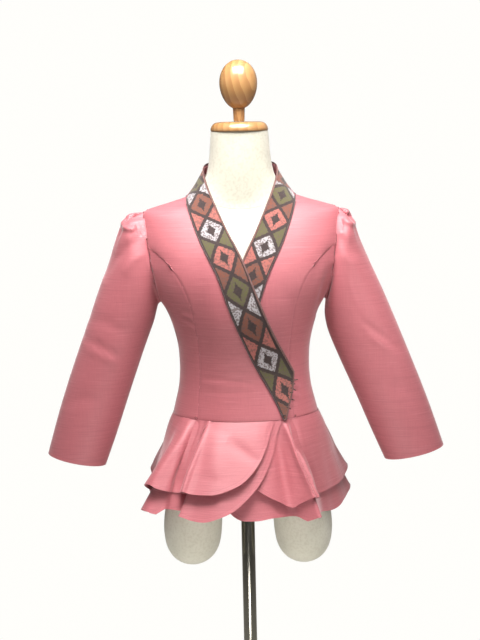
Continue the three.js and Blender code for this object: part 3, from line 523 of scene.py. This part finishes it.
def edge_ways(sheet, is_hem):
    """Stores how far each point is from a sewn edge and from a free hem, and returns the first."""
    points = points_of(sheet)
    rims = rims_of(sheet)
    hem = [key for key in rims if is_hem((points[key[0]] + points[key[1]]) / 2)]
    sewn = [key for key in rims if key not in set(hem)]
    ways = {}
    for name, keys in (("seam_way", sewn), ("hem_way", hem)):
        if keys:
            way = way_to(points, [points[a] for a, b in keys], [points[b] for a, b in keys])
        else:
            way = np.full(len(points), 1.0)
        layer = sheet.data.attributes.new(name, "FLOAT", "POINT")
        layer.data.foreach_set("value", way.astype(np.float32))
        ways[name] = way
    return ways["seam_way"]


def sunk_seams(sheet, seam_way, depth=0.0008, reach=0.005):
    """Sinks the cloth into a shallow valley along its sewn edges, and draws those edges outwards a little."""
    share = np.clip(1 - seam_way / reach, 0, 1) ** 2
    points = points_of(sheet)
    moved = points - normals_of(sheet) * (share * depth)[:, None]
    at_edge = seam_way < SAME_PLACE
    for edge in sheet.data.edges:
        a, b = edge.vertices
        if at_edge[a] != at_edge[b]:
            rim, inside = (a, b) if at_edge[a] else (b, a)
            way = points[rim] - points[inside]
            moved[rim] += way / np.linalg.norm(way) * SEAM_DRAWN
    put_points(sheet, moved)


def surface_of(piece):
    """The piece's surface, to measure to."""
    corners = [vert.co for vert in piece.data.vertices]
    return BVHTree.FromPolygons(corners, [polygon.vertices for polygon in piece.data.polygons])


def seat_on(surfaces, point):
    """The nearest place on any of the surfaces, and how far off it is."""
    seat = min((surface.find_nearest(point) for surface in surfaces), key=lambda found: found[3])
    return seat[0], seat[3]


def drawn_to(sheet, seam_way, surfaces):
    """Brings each sewn edge to the pieces it is sewn to, where they lie within reach."""
    points = points_of(sheet)
    for v in np.flatnonzero(seam_way < SAME_PLACE):
        seat, off = seat_on(surfaces, Vector(points[v]))
        if off < EDGE_EASE:
            points[v] = seat
    put_points(sheet, points)


def rounded(sheet):
    """Rounds off the facets of the sheet, but not its pinned corners."""
    applied(sheet, "SUBSURF", levels=3, render_levels=3, boundary_smooth="PRESERVE_CORNERS")


def run_length(line):
    return float(np.linalg.norm(np.diff(line, axis=0), axis=1).sum())


def run_along(points, line):
    """For each point, how far along the line its nearest place is, and how far off the line it is."""
    off, run = np.full(len(points), np.inf), np.zeros(len(points))
    passed = 0.0
    for a, b in zip(line, line[1:]):
        length = np.linalg.norm(b - a)
        share = np.clip(((points - a) @ (b - a)) / length**2, 0, 1)
        gap = np.linalg.norm(points - a - share[:, None] * (b - a), axis=1)
        closer = gap < off
        off[closer] = gap[closer]
        run[closer] = (passed + share * length)[closer]
        passed += length
    return run, off


END_FADE = 0.6  # below 1, a crease keeps its height nearer to its ends
SIDE_FADE, SIDE_REACH = 3, 0.6  # how fast a crease ends where the cloth turns away, and how late


def crease(sheet, line, width, height, facing):
    """A soft ridge (height above 0) or trough (below) along a line of (x, z) in millimetres, which fades
    out at both ends. facing is -1 for the cloth that faces the front and 1 for the back."""
    points, normals = points_of(sheet), normals_of(sheet)
    line = np.array(line, float)
    run, off = run_along(points[:, [0, 2]] * 1000, line)
    fade = np.clip(np.sin(np.pi * np.clip(run / run_length(line), 0, 1)), 0, 1) ** END_FADE
    facing_share = np.clip(normals[:, 1] * facing * SIDE_FADE + SIDE_REACH, 0, 1)
    by = height / 1000 * np.exp(-((off / width) ** 2)) * fade * facing_share
    put_points(sheet, points + normals * by[:, None])


def sewn_cloth(sheet, node, finish):
    """Gives the sheet its thickness, inwards, and sets it up as its node's piece."""
    bpy.ops.object.select_all(action="DESELECT")
    sheet.select_set(True)
    bpy.context.view_layer.objects.active = sheet
    applied(sheet, "SOLIDIFY", thickness=CLOTH_THICK, offset=-1)
    bpy.ops.object.shade_smooth_by_angle(angle=CLOTH_SMOOTH)
    stands_for(sheet, node, finish)


def no_hem(point):
    return False


# Each panel: its node, then its own name and its flat cut: width, length and area in metres.
BODICE = {
    "front_left_centre": ("front_left", (0.26, 0.43, 0.0572)),
    "front_left_side": ("side_front_left", (0.11, 0.30, 0.0258)),
    "front_right_centre": ("front_right", (0.27, 0.43, 0.0663)),
    "front_right_side": ("side_front_right", (0.11, 0.30, 0.0258)),
    "back": ("back_panel", (0.46, 0.42, 0.155)),
}
# Each crease: its line in (x, z), its half width and its height in millimetres, and the way it faces.
BODICE_CREASES = (
    ([(-166, 1200), (-156, 1161), (-152, 1131), (-148, 1105)], 5, 1.6, -1),
    ([(-172, 1190), (-164, 1155), (-158, 1125)], 6, -2.0, -1),
    ([(-112, 1108), (-97, 1105), (-84, 1099)], 2.2, -1.2, -1),
    ([(-112, 1100), (-98, 1097), (-86, 1090)], 2.6, 1.2, -1),
    ([(-111, 1092), (-96, 1088), (-83, 1079)], 2.2, -1.3, -1),
    ([(-109, 1082), (-95, 1079), (-84, 1071)], 2.6, 1.1, -1),
    ([(-108, 1070), (-93, 1067), (-80, 1059)], 2.2, -1.0, -1),
    ([(-84, 1058), (-84, 1005), (-84, 945)], 3.5, -0.7, -1),
    ([(-84, 980), (-45, 981), (-12, 977), (20, 971)], 3.2, -1.1, -1),
    ([(-90, 972), (-50, 972), (-14, 969)], 3.4, 0.8, -1),
    ([(-90, 953), (-42, 956), (14, 958)], 3.6, -0.9, -1),
    ([(-30, 1027), (3, 1026), (26, 1018)], 3.0, -0.9, -1),
    ([(-60, 1000), (-10, 1003), (30, 998)], 5.0, 0.8, -1),
    ([(160, 1180), (149, 1150), (140, 1115), (132, 1080)], 8, -3.5, -1),
    ([(150, 1200), (136, 1160), (126, 1120)], 8, 1.6, -1),
    ([(-176, 1212), (-168, 1180), (-162, 1150)], 6, -1.6, -1),
    ([(60, 1150), (90, 1120), (115, 1080)], 9, -1.2, -1),
    ([(80, 971), (89, 969), (98, 967)], 1.8, -1.6, -1),
    ([(82, 964), (92, 962), (101, 960)], 2.8, 2.4, -1),
    ([(79, 957), (88, 954), (97, 951)], 1.8, -1.6, -1),
    ([(80, 948), (91, 945), (100, 942)], 3.0, 2.4, -1),
    ([(75, 938), (85, 935), (93, 931)], 1.8, -1.5, -1),
    ([(76, 932), (85, 929), (94, 926)], 2.6, 2.0, -1),
    ([(70, 926), (79, 922), (87, 918)], 1.8, -1.4, -1),
    ([(-110, 1150), (-60, 1130), (0, 1110)], 9, -1.0, 1),
    ([(110, 1150), (60, 1130), (0, 1110)], 9, -1.0, 1),
    ([(-100, 1000), (-50, 985), (-8, 978)], 6, -1.3, 1),
    ([(100, 1000), (50, 985), (8, 978)], 6, -1.3, 1),
    ([(-95, 970), (-50, 958), (-8, 955)], 6, 1.1, 1),
    ([(95, 970), (50, 958), (8, 955)], 6, 1.1, 1),
    ([(-150, 1200), (-138, 1160), (-130, 1120)], 9, -1.8, 1),
    ([(150, 1200), (138, 1160), (130, 1120)], 9, -1.8, 1),
)
# The panels that each panel is sewn to, all of them made before it.
SEWN_TO = {
    "front_left_side": ["front_left_centre"],
    "front_right_side": ["front_right_centre"],
    "back": ["front_left_centre", "front_left_side", "front_right_centre", "front_right_side"],
}
bodice_pieces = {}
for node, (name, cut) in BODICE.items():
    panel = outer_face(node, name, on_axis)
    rounded(panel)
    seam_way = edge_ways(panel, no_hem)
    for line, width, height, facing in BODICE_CREASES:
        crease(panel, line, width, height, facing)
    sunk_seams(panel, seam_way)
    if node in SEWN_TO:
        drawn_to(panel, seam_way, [surface_of(bodice_pieces[other]) for other in SEWN_TO[node]])
    sewn_cloth(panel, node, bodice_silk)
    bodice_pieces[node] = panel


# ---- Sleeves -------------------------------------------------------------------------------------
# Three-quarter sleeves of one piece each, with a seam under the arm. The head is pleated into the armhole
# on each side of the shoulder seam, so that it stands up in a small loop, and the cuff is turned in.
def arm_axis(point):
    """The nearest point on the middle line of the arm on the point's side."""
    side = 1 if point.x > 0 else -1
    top, end = Vector((0.170 * side, 0, 1.200)), Vector((0.315 * side, -0.012, 0.822))
    along = end - top
    return top + along * ((point - top).dot(along) / along.length_squared)


CUFFS_BELOW = 0.86


def sleeve_cuff(point):
    return point[2] < CUFFS_BELOW


# Creases, written as the bodice's are: those in front first, then those at the back.
RIGHT_SLEEVE_CREASES = (
    ([(-214, 1266), (-205, 1272), (-194, 1278), (-180, 1284)], 3.2, -13.0, -1),
    ([(-214, 1274), (-202, 1282), (-190, 1286)], 3.0, 2.4, -1),
    ([(-220, 1264), (-210, 1253), (-198, 1251), (-190, 1256)], 4.5, 4.0, -1),
    ([(-190, 1262), (-186, 1250), (-180, 1238)], 2.2, -1.8, -1),
    ([(-184, 1264), (-180, 1252), (-175, 1242)], 2.0, -1.4, -1),
    ([(-178, 1240), (-205, 1222), (-232, 1196), (-256, 1160)], 10, -3.2, -1),
    ([(-172, 1210), (-196, 1196), (-214, 1170)], 8, 2.0, -1),
    ([(-300, 1058), (-262, 1041), (-222, 1018)], 5, -2.2, -1),
    ([(-300, 1042), (-262, 1027), (-226, 1004)], 6, 1.8, -1),
    ([(-296, 1090), (-250, 1086), (-205, 1060)], 10, -1.4, -1),
    ([(-330, 930), (-300, 945), (-262, 940)], 9, -1.5, -1),
    ([(-285, 1040), (-250, 1030), (-220, 1005)], 7, -2.0, 1),
    ([(-200, 1270), (-196, 1250), (-190, 1230)], 4, -2.0, 1),
    ([(-240, 1180), (-215, 1150), (-190, 1130)], 10, -2.0, 1),
)
LEFT_SLEEVE_CREASES = (
    ([(180, 1285), (189, 1275), (200, 1267), (210, 1260)], 3.0, -12.0, -1),
    ([(186, 1287), (198, 1280), (208, 1268)], 3.0, 2.4, -1),
    ([(184, 1262), (192, 1254), (202, 1250), (210, 1254)], 4.5, 3.6, -1),
    ([(180, 1262), (182, 1250), (180, 1238)], 2.2, -1.4, -1),
    ([(176, 1232), (190, 1216), (206, 1190)], 9, -2.2, -1),
    ([(174, 1200), (196, 1186), (222, 1150)], 9, 1.6, -1),
    ([(214, 1076), (252, 1048), (292, 1016)], 6, -2.0, -1),
    ([(216, 1058), (252, 1032), (290, 1000)], 7, 1.6, -1),
    ([(250, 960), (290, 950), (325, 925)], 9, -1.5, -1),
    ([(285, 1040), (250, 1030), (220, 1005)], 7, -2.0, 1),
    ([(200, 1270), (196, 1250), (190, 1230)], 4, -2.0, 1),
    ([(240, 1180), (215, 1150), (190, 1130)], 10, -2.0, 1),
)
HEAD_EASED = 1.235  # the gathered head is eased into a round above this height
PLEAT_EASED = 0.190  # and no farther out than this
HEAD_TOP = 1.2835  # the height of the sleeve heads
SEAM_EASE = 0.018  # a head's edge within this reach of the armhole is sewn to it
bodice_surfaces = [surface_of(panel) for panel in bodice_pieces.values()]
# Each sleeve: its node, its own name, the turn of its weft in degrees, its creases and its flat cut.
SLEEVES = (
    ("sleeve_right", "right_sleeve", 20, RIGHT_SLEEVE_CREASES, (0.36, 0.50, 0.139)),
    ("sleeve_left", "left_sleeve", -20, LEFT_SLEEVE_CREASES, (0.36, 0.50, 0.141)),
)
for node, name, turn, creases, cut in SLEEVES:
    sleeve = outer_face(node, name, arm_axis)
    bpy.ops.object.mode_set(mode="EDIT")
    head = bmesh.from_edit_mesh(sleeve.data)
    bpy.ops.mesh.select_all(action="DESELECT")
    for vert in head.verts:
        by_seam = vert.co.z > HEAD_EASED and abs(vert.co.x) < PLEAT_EASED
        if by_seam:
            vert.co.z = min(vert.co.z, HEAD_TOP)
        if vert.is_boundary and vert.co.z > HEAD_EASED:
            seat, off = seat_on(bodice_surfaces, vert.co)
            if off < SEAM_EASE:
                vert.co = seat
        vert.select_set(by_seam and not vert.is_boundary)
    bmesh.update_edit_mesh(sleeve.data)
    bpy.ops.mesh.vertices_smooth(factor=0.5, repeat=10)
    bpy.ops.mesh.select_all(action="DESELECT")
    bpy.ops.mesh.select_mode(type="FACE")
    for face in head.faces:
        face.select_set(face.calc_center_median().z > HEAD_EASED)
    bmesh.update_edit_mesh(sleeve.data)
    bpy.ops.mesh.subdivide(number_cuts=1)
    bpy.ops.mesh.select_all(action="DESELECT")
    bpy.ops.mesh.select_mode(type="VERT")
    for vert in head.verts:
        vert.select_set(vert.co.z > HEADS_ABOVE and not vert.is_boundary)
    bmesh.update_edit_mesh(sleeve.data)
    bpy.ops.mesh.vertices_smooth(factor=0.5, repeat=2)
    bpy.ops.object.mode_set(mode="OBJECT")
    rounded(sleeve)
    seam_way = edge_ways(sleeve, sleeve_cuff)
    for line, width, height, facing in creases:
        crease(sleeve, line, width, height, facing)
    sunk_seams(sleeve, seam_way)
    sewn_cloth(sleeve, node, silk_finish("silk_" + name, turn))


# ---- Peplum --------------------------------------------------------------------------------------
# Two tiers of flared silk sewn into the waist seam, each in a back and two fronts, cut on a curve so that
# they fall in flutes. The fronts' edges are rounded off, and every hem is narrow and turned.
WAIST_SEAM = 0.9035


def peplum_hem(point):
    return point[2] < WAIST_SEAM


# Each piece of the tiers: its node, its own name and its flat cut.
PEPLUM = (
    ("peplum_lower_back", "lower_tier_back", (0.66, 0.25, 0.088)),
    ("peplum_lower_left", "lower_tier_left", (0.36, 0.26, 0.0543)),
    ("peplum_lower_right", "lower_tier_right", (0.36, 0.26, 0.0553)),
    ("peplum_upper_back", "upper_tier_back", (0.62, 0.20, 0.069)),
    ("peplum_upper_left", "upper_tier_left", (0.34, 0.19, 0.0412)),
    ("peplum_upper_right", "upper_tier_right", (0.36, 0.19, 0.0448)),
)
# Flutes, written as the bodice's creases are: those in front first, then those at the back.
UPPER_FLUTES = (
    ([(-88, 906), (-101, 872), (-110, 848), (-119, 823), (-136, 766)], 7, -13.0, -1),
    ([(-66, 908), (-82, 868), (-96, 838), (-107, 813), (-126, 766)], 3.6, 6.0, -1),
    ([(-50, 890), (-58, 855), (-62, 820)], 22, 3.5, -1),
    ([(-34, 878), (0, 856), (26, 838)], 10, -3.0, -1),
    ([(-100, 906), (-118, 872), (-138, 846), (-161, 817), (-182, 786)], 7, 4.0, -1),
    ([(58, 905), (60, 860), (66, 812), (74, 760)], 10, -5.0, -1),
    ([(68, 908), (82, 871), (95, 836), (108, 807), (124, 766)], 6, 6.0, -1),
    ([(82, 905), (97, 857), (111, 822), (125, 784), (136, 750)], 6, -10.0, -1),
    ([(-138, 902), (-158, 868), (-176, 828)], 16, 4.5, -1),
    ([(124, 902), (150, 868), (172, 828)], 16, 4.0, -1),
    ([(-60, 905), (-78, 850), (-92, 790)], 12, -4.0, 1),
    ([(60, 905), (78, 850), (92, 790)], 12, -4.0, 1),
    ([(0, 905), (0, 850), (0, 790)], 12, -3.0, 1),
)
LOWER_FLUTES = (
    ([(-118, 850), (-130, 800), (-142, 750), (-150, 710)], 8, -4.0, -1),
    ([(-100, 850), (-116, 790), (-128, 740)], 8, 2.5, -1),
    ([(-40, 830), (-48, 780), (-52, 740)], 20, 3.0, -1),
    ([(92, 850), (110, 800), (122, 760), (130, 720)], 8, 3.5, -1),
    ([(72, 850), (80, 800), (86, 750), (90, 710)], 7, -3.5, -1),
    ([(-60, 860), (-80, 800), (-94, 740)], 12, -4.0, 1),
    ([(60, 860), (80, 800), (94, 740)], 12, -4.0, 1),
)
peplum_silk = silk_finish("silk_peplum")
for node, name, cut in PEPLUM:
    tier = outer_face(node, name, on_axis)
    rounded(tier)
    seam_way = edge_ways(tier, peplum_hem)
    for line, width, height, facing in UPPER_FLUTES if "upper" in node else LOWER_FLUTES:
        crease(tier, line, width, height, facing)
    sunk_seams(tier, seam_way, depth=0.0002, reach=0.003)
    sewn_cloth(tier, node, peplum_silk)


# ---- Stand behind the neck -----------------------------------------------------------------------
# The silk facing of the band, which stands up round the back of the neck.
stand = outer_face("collar_stand", "neck_facing", on_axis)
rounded(stand)
edge_ways(stand, no_hem)
sewn_cloth(stand, "collar_stand", bodice_silk)


# ---- Patterned neck band -------------------------------------------------------------------------
# A 50 mm strip worked in wool yarn, one lozenge after another in four colours on dark brown, sewn flat
# along the neck opening and round the back of the neck.
BAND_WIDE = 0.050
YARN = {"rust": (116, 64, 48), "white": (166, 161, 165), "salmon": (164, 92, 84), "green": (84, 80, 44)}
YARN_DARK = (40, 25, 25)
# One repeat of the pattern, from a lozenge's heart (0) out to the corners between lozenges (2).
HEART_EDGE, LOZENGE_EDGE, CORNER_EDGE = 0.3, 0.8, 1.12
SIDE_BOW = 1.12  # 1 is straight sides
SPIKE_LONG, SPIKE_WIDE = 0.26, 0.11
BORDER_EDGE = 0.455  # half the width inside the dark borders
STITCHES_LONG, STITCHES_WIDE = 40, 30
FLECKS_LONG, FLECKS_WIDE = 30, 22
BUMPS_LONG, BUMPS_WIDE = 46, 34


def yarn_finish(name, phase):
    """The pattern, from the strip's own places: repeats along it, and its width from 0 to 1 across."""
    yarn, shader = new_finish(name, Roughness=0.85, Sheen_Weight=0.2, Sheen_Roughness=0.6)
    laid = add(yarn, "UVMap", uv_map="strip").outputs[0]
    parts = add(yarn, "SeparateXYZ", {0: laid})
    fine_along = sum_of(yarn, "ADD", parts.outputs[0], phase)
    along = sum_of(yarn, "SNAP", fine_along, 1 / STITCHES_LONG)
    across = sum_of(yarn, "SNAP", parts.outputs[1], 1 / STITCHES_WIDE)
    index = sum_of(yarn, "FLOOR", along)
    off_centre = sum_of(yarn, "ABSOLUTE", sum_of(yarn, "SUBTRACT", sum_of(yarn, "FRACT", along), 0.5))
    off_middle = sum_of(yarn, "ABSOLUTE", sum_of(yarn, "SUBTRACT", across, 0.5))
    ring = sum_of(
        yarn,
        "ADD",
        sum_of(yarn, "POWER", sum_of(yarn, "MULTIPLY", off_centre, 2.0), SIDE_BOW),
        sum_of(yarn, "POWER", sum_of(yarn, "MULTIPLY", off_middle, 2.0), SIDE_BOW),
    )
    lozenge = sum_of(yarn, "LESS_THAN", ring, LOZENGE_EDGE)
    corner = sum_of(yarn, "GREATER_THAN", ring, CORNER_EDGE)
    heart = sum_of(yarn, "LESS_THAN", ring, HEART_EDGE)
    spike = sum_of(
        yarn,
        "LESS_THAN",
        sum_of(
            yarn,
            "ADD",
            sum_of(yarn, "MULTIPLY", off_middle, 1 / SPIKE_WIDE),
            sum_of(yarn, "MULTIPLY", off_centre, 1 / SPIKE_LONG),
        ),
        1.0,
    )
    centre = sum_of(yarn, "MAXIMUM", heart, spike)
    border = sum_of(yarn, "GREATER_THAN", off_middle, BORDER_EDGE)
    corner_index = sum_of(yarn, "ADD", sum_of(yarn, "FLOOR", sum_of(yarn, "ADD", along, 0.5)), 1.0)
    used = sum_of(
        yarn,
        "ADD",
        sum_of(yarn, "MULTIPLY", index, lozenge),
        sum_of(yarn, "MULTIPLY", corner_index, sum_of(yarn, "SUBTRACT", 1.0, lozenge)),
    )
    turn = sum_of(yarn, "FRACT", sum_of(yarn, "MULTIPLY", sum_of(yarn, "ADD", used, 0.5), 0.25))
    colours = add(yarn, "ValToRGB", {0: turn})
    colours.color_ramp.interpolation = "CONSTANT"
    stops = colours.color_ramp.elements
    stops[0].position, stops[0].color = 0.0, tone(*YARN["rust"])
    stops[1].position, stops[1].color = 0.25, tone(*YARN["white"])
    for position, colour in ((0.5, "salmon"), (0.75, "green")):
        stop = stops.new(position)
        stop.color = tone(*YARN[colour])
    cell = add(
        yarn,
        "CombineXYZ",
        {
            0: sum_of(yarn, "SNAP", fine_along, 1 / FLECKS_LONG),
            1: sum_of(yarn, "SNAP", parts.outputs[1], 1 / FLECKS_WIDE),
        },
    )
    luck = add(yarn, "TexWhiteNoise", {"Vector": cell.outputs[0]}, noise_dimensions="3D").outputs["Value"]
    is_white = sum_of(yarn, "COMPARE", turn, 0.375, 0.1)
    fleck_share = sum_of(yarn, "MULTIPLY_ADD", is_white, 0.2, 0.55)
    flecks = sum_of(yarn, "MULTIPLY", sum_of(yarn, "GREATER_THAN", luck, 0.6), fleck_share)
    flecked = blended(yarn, flecks, colours.outputs[0], tone(84, 66, 62))
    shown = sum_of(yarn, "MAXIMUM", lozenge, corner)
    shown = sum_of(yarn, "MULTIPLY", shown, sum_of(yarn, "SUBTRACT", 1.0, centre))
    shown = sum_of(yarn, "MULTIPLY", shown, sum_of(yarn, "SUBTRACT", 1.0, border))
    ground = blended(yarn, sum_of(yarn, "MULTIPLY", luck, 0.5), tone(*YARN_DARK), tone(66, 44, 42))
    plug_in(yarn, shader, "Base Color", blended(yarn, shown, ground, flecked))
    stitch_u = sum_of(yarn, "PINGPONG", sum_of(yarn, "MULTIPLY", fine_along, BUMPS_LONG), 0.5)
    stitch_v = sum_of(yarn, "PINGPONG", sum_of(yarn, "MULTIPLY", parts.outputs[1], BUMPS_WIDE), 0.5)
    stitch = sum_of(yarn, "MULTIPLY", stitch_u, stitch_v)
    worked = sum_of(yarn, "ADD", stitch, sum_of(yarn, "MULTIPLY", shown, 0.3))
    bump = add(yarn, "Bump", {"Strength": 0.8, "Distance": 0.0006, "Height": worked})
    plug_in(yarn, shader, "Normal", bump.outputs[0])
    return yarn


def border_of(sheet):
    """The sheet's border as a ring of vertex numbers."""
    nexts = {}
    for a, b in rims_of(sheet):
        nexts.setdefault(a, []).append(b)
        nexts.setdefault(b, []).append(a)
    ring = [next(iter(nexts))]
    walked = set(ring)
    while True:
        onward = [v for v in nexts[ring[-1]] if v not in walked]
        if not onward:
            return ring
        ring.append(onward[0])
        walked.add(onward[0])


def run_between(points, ring, start, end):
    """The shorter way round the border from the corner at one place to the corner at another."""
    ends = [int(np.argmin(np.linalg.norm(points[ring] * 1000 - place, axis=1))) for place in (start, end)]
    count = len(ring)
    ways = [
        [ring[(ends[0] + k * step) % count] for k in range((ends[1] - ends[0]) * step % count + 1)]
        for step in (1, -1)
    ]
    return min(ways, key=lambda way: run_length(points[way]))


LOZENGES_BEFORE, LOZENGES_AFTER = 6, 3  # more of them at each end than the edge is long


def lay_strip(sheet, sewn, marks, way):
    """Gives each corner of each face its place on the flat strip. marks are the runs along the sewn edge, in
    millimetres, of one lozenge's middle after another: the strip is eased in round the neck."""
    run, off = run_along(points_of(sheet), sewn)
    at = [m / 1000 for m in marks]
    at = [at[0] - (at[1] - at[0]) * k for k in range(LOZENGES_BEFORE, 0, -1)] + at
    at += [at[-1] + (at[-1] - at[-2]) * k for k in range(1, LOZENGES_AFTER + 1)]
    lozenge = np.interp(run, at, np.arange(len(at)) + 0.5)
    layer = sheet.data.uv_layers.new(name="strip")
    for loop in sheet.data.loops:
        v = loop.vertex_index
        layer.data[loop.index].uv = (lozenge[v] * way, off[v] / BAND_WIDE)


def shifted_line(points, normals, aside, up):
    """The line moved aside in the cloth's own surface and up off it, in metres."""
    along = np.gradient(points, axis=0)
    along /= np.linalg.norm(along, axis=1)[:, None]
    across = np.cross(along, normals)
    across /= np.linalg.norm(across, axis=1)[:, None]
    return points + across * aside + normals * up


def cord(name, line, radius):
    """A round cord with closed ends along a line of points."""
    data = bpy.data.curves.new(name, "CURVE")
    data.dimensions = "3D"
    data.bevel_depth = radius
    data.bevel_resolution = 1
    data.use_fill_caps = True
    spline = data.splines.new("POLY")
    spline.points.add(len(line) - 1)
    spline.points.foreach_set("co", np.c_[line, np.ones(len(line))].ravel())
    made = bpy.data.objects.new(name, data)
    bpy.context.scene.collection.objects.link(made)
    bpy.ops.object.select_all(action="DESELECT")
    made.select_set(True)
    bpy.context.view_layer.objects.active = made
    bpy.ops.object.convert(target="MESH")
    bpy.ops.object.shade_smooth()
    return bpy.context.object


def cord_finish(name, light, dark, twists=900):
    """Cord of twisted thread, lighter on each turn of the twist."""
    made, shader = new_finish(name, Roughness=0.7, Sheen_Weight=0.3)
    place = add(made, "TexCoord").outputs["Object"]
    twist = ramp(made, spots(made, place, (1, 1, 1), twists, 1.0), 0.35, 0.65)
    plug_in(made, shader, "Base Color", blended(made, twist, tone(*dark), tone(*light)))
    return made


edge_brown = cord_finish("edge_brown", (138, 92, 84), (96, 58, 54))
edge_dark = cord_finish("edge_dark", (88, 50, 52), (58, 30, 34))
# How far the middles of the lozenges are from the nape, in millimetres along the sewn edge.
BAND_MARKS = {"neck_band_right": (172, 230, 290, 350, 421, 496, 563), "neck_band_left": (156, 209, 270, 324)}
BAND_TURN = {"neck_band_right": 18, "neck_band_left": 22}  # which colour the chain begins with
# The corners of the bands, in millimetres: both at the nape, and the one where both edges run together.
NAPE_LOW, NAPE_HIGH = (0, 59, 1326), (0, 63, 1365)
BAND_TIP = {"neck_band_right": (69, -85, 906), "neck_band_left": (-34, -90, 906)}
bands = {}
for node, name in (("neck_band_left", "band_left"), ("neck_band_right", "band_right")):
    strip = outer_face(node, name, on_axis)
    rounded(strip)
    points, normals = points_of(strip), normals_of(strip)
    ring = border_of(strip)
    sewn = run_between(points, ring, NAPE_LOW, BAND_TIP[node])
    free = run_between(points, ring, NAPE_HIGH, BAND_TIP[node])
    towards = 1 if node == "neck_band_right" else -1
    lay_strip(strip, points[sewn], BAND_MARKS[node], towards)
    applied(strip, "SOLIDIFY", thickness=CLOTH_THICK, offset=-1)
    bpy.ops.object.shade_smooth_by_angle(angle=CLOTH_SMOOTH)
    stands_for(strip, node, yarn_finish("yarn_" + name, BAND_TURN[node]))
    bands[node] = strip
    # Each cord: its own name, the edge it follows, how far aside and up from it, its radius and finish.
    for part, side, aside, up, radius, finish in (
        ("sewn_cord", sewn, 0.0003, 0.0004, 0.0008, edge_dark),
        ("edge_cord", free, -0.0002, 0.0006, 0.0011, edge_brown),
        ("edge_line", free, -0.0017, 0.0001, 0.0007, edge_dark),
    ):
        line = shifted_line(points[side], normals[side], aside * towards, up)[::2]
        piping = cord(name + "_" + part, line, radius)
        piping.data.materials.append(finish)
        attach(piping, "root")


# ---- Tacks at the end of the band ----------------------------------------------------------------
# Six stitches of dark thread hold the end of the band to the under front, and one closes its point.
tack_thread = cord_finish("tack_thread", (62, 36, 38), (40, 22, 24), 1500)
# Each stitch: its two ends, as (x, z) in millimetres.
TACKS = (
    ((83, 973), (96, 972)),
    ((83, 969), (91, 965)),
    ((82, 961), (92, 953)),
    ((80, 954), (87, 950)),
    ((78, 941), (89, 936)),
    ((74, 928), (82, 921)),
    ((66, 914), (76, 912)),
)
TACK_RADIUS = 0.0009
TACK_RISE = 0.0008  # how far the middle of a stitch stands off the cloth
TACK_STEPS = 6
under = [bodice_pieces[node] for node in ("front_left_centre", "front_left_side")] + list(bands.values())
front_surfaces = [surface_of(piece) for piece in under]


def on_front(x, z):
    """The place on the front of the cloth at x and z in millimetres."""
    before, backwards = Vector((x / 1000, -0.5, z / 1000)), Vector((0, 1, 0))
    hits = [surface.ray_cast(before, backwards)[0] for surface in front_surfaces]
    return min((hit for hit in hits if hit is not None), key=lambda hit: hit.y)


for number, (start, end) in enumerate(TACKS):
    line = []
    for k in range(TACK_STEPS + 1):
        t = k / TACK_STEPS
        spot = on_front(start[0] + (end[0] - start[0]) * t, start[1] + (end[1] - start[1]) * t)
        line.append(np.array(spot) + np.array((0, -TACK_RISE * math.sin(math.pi * t) - 0.0002, 0)))
    tack = cord("tack_%d" % (number + 1), np.array(line), TACK_RADIUS)
    tack.data.materials.append(tack_thread)
    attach(tack, "root")
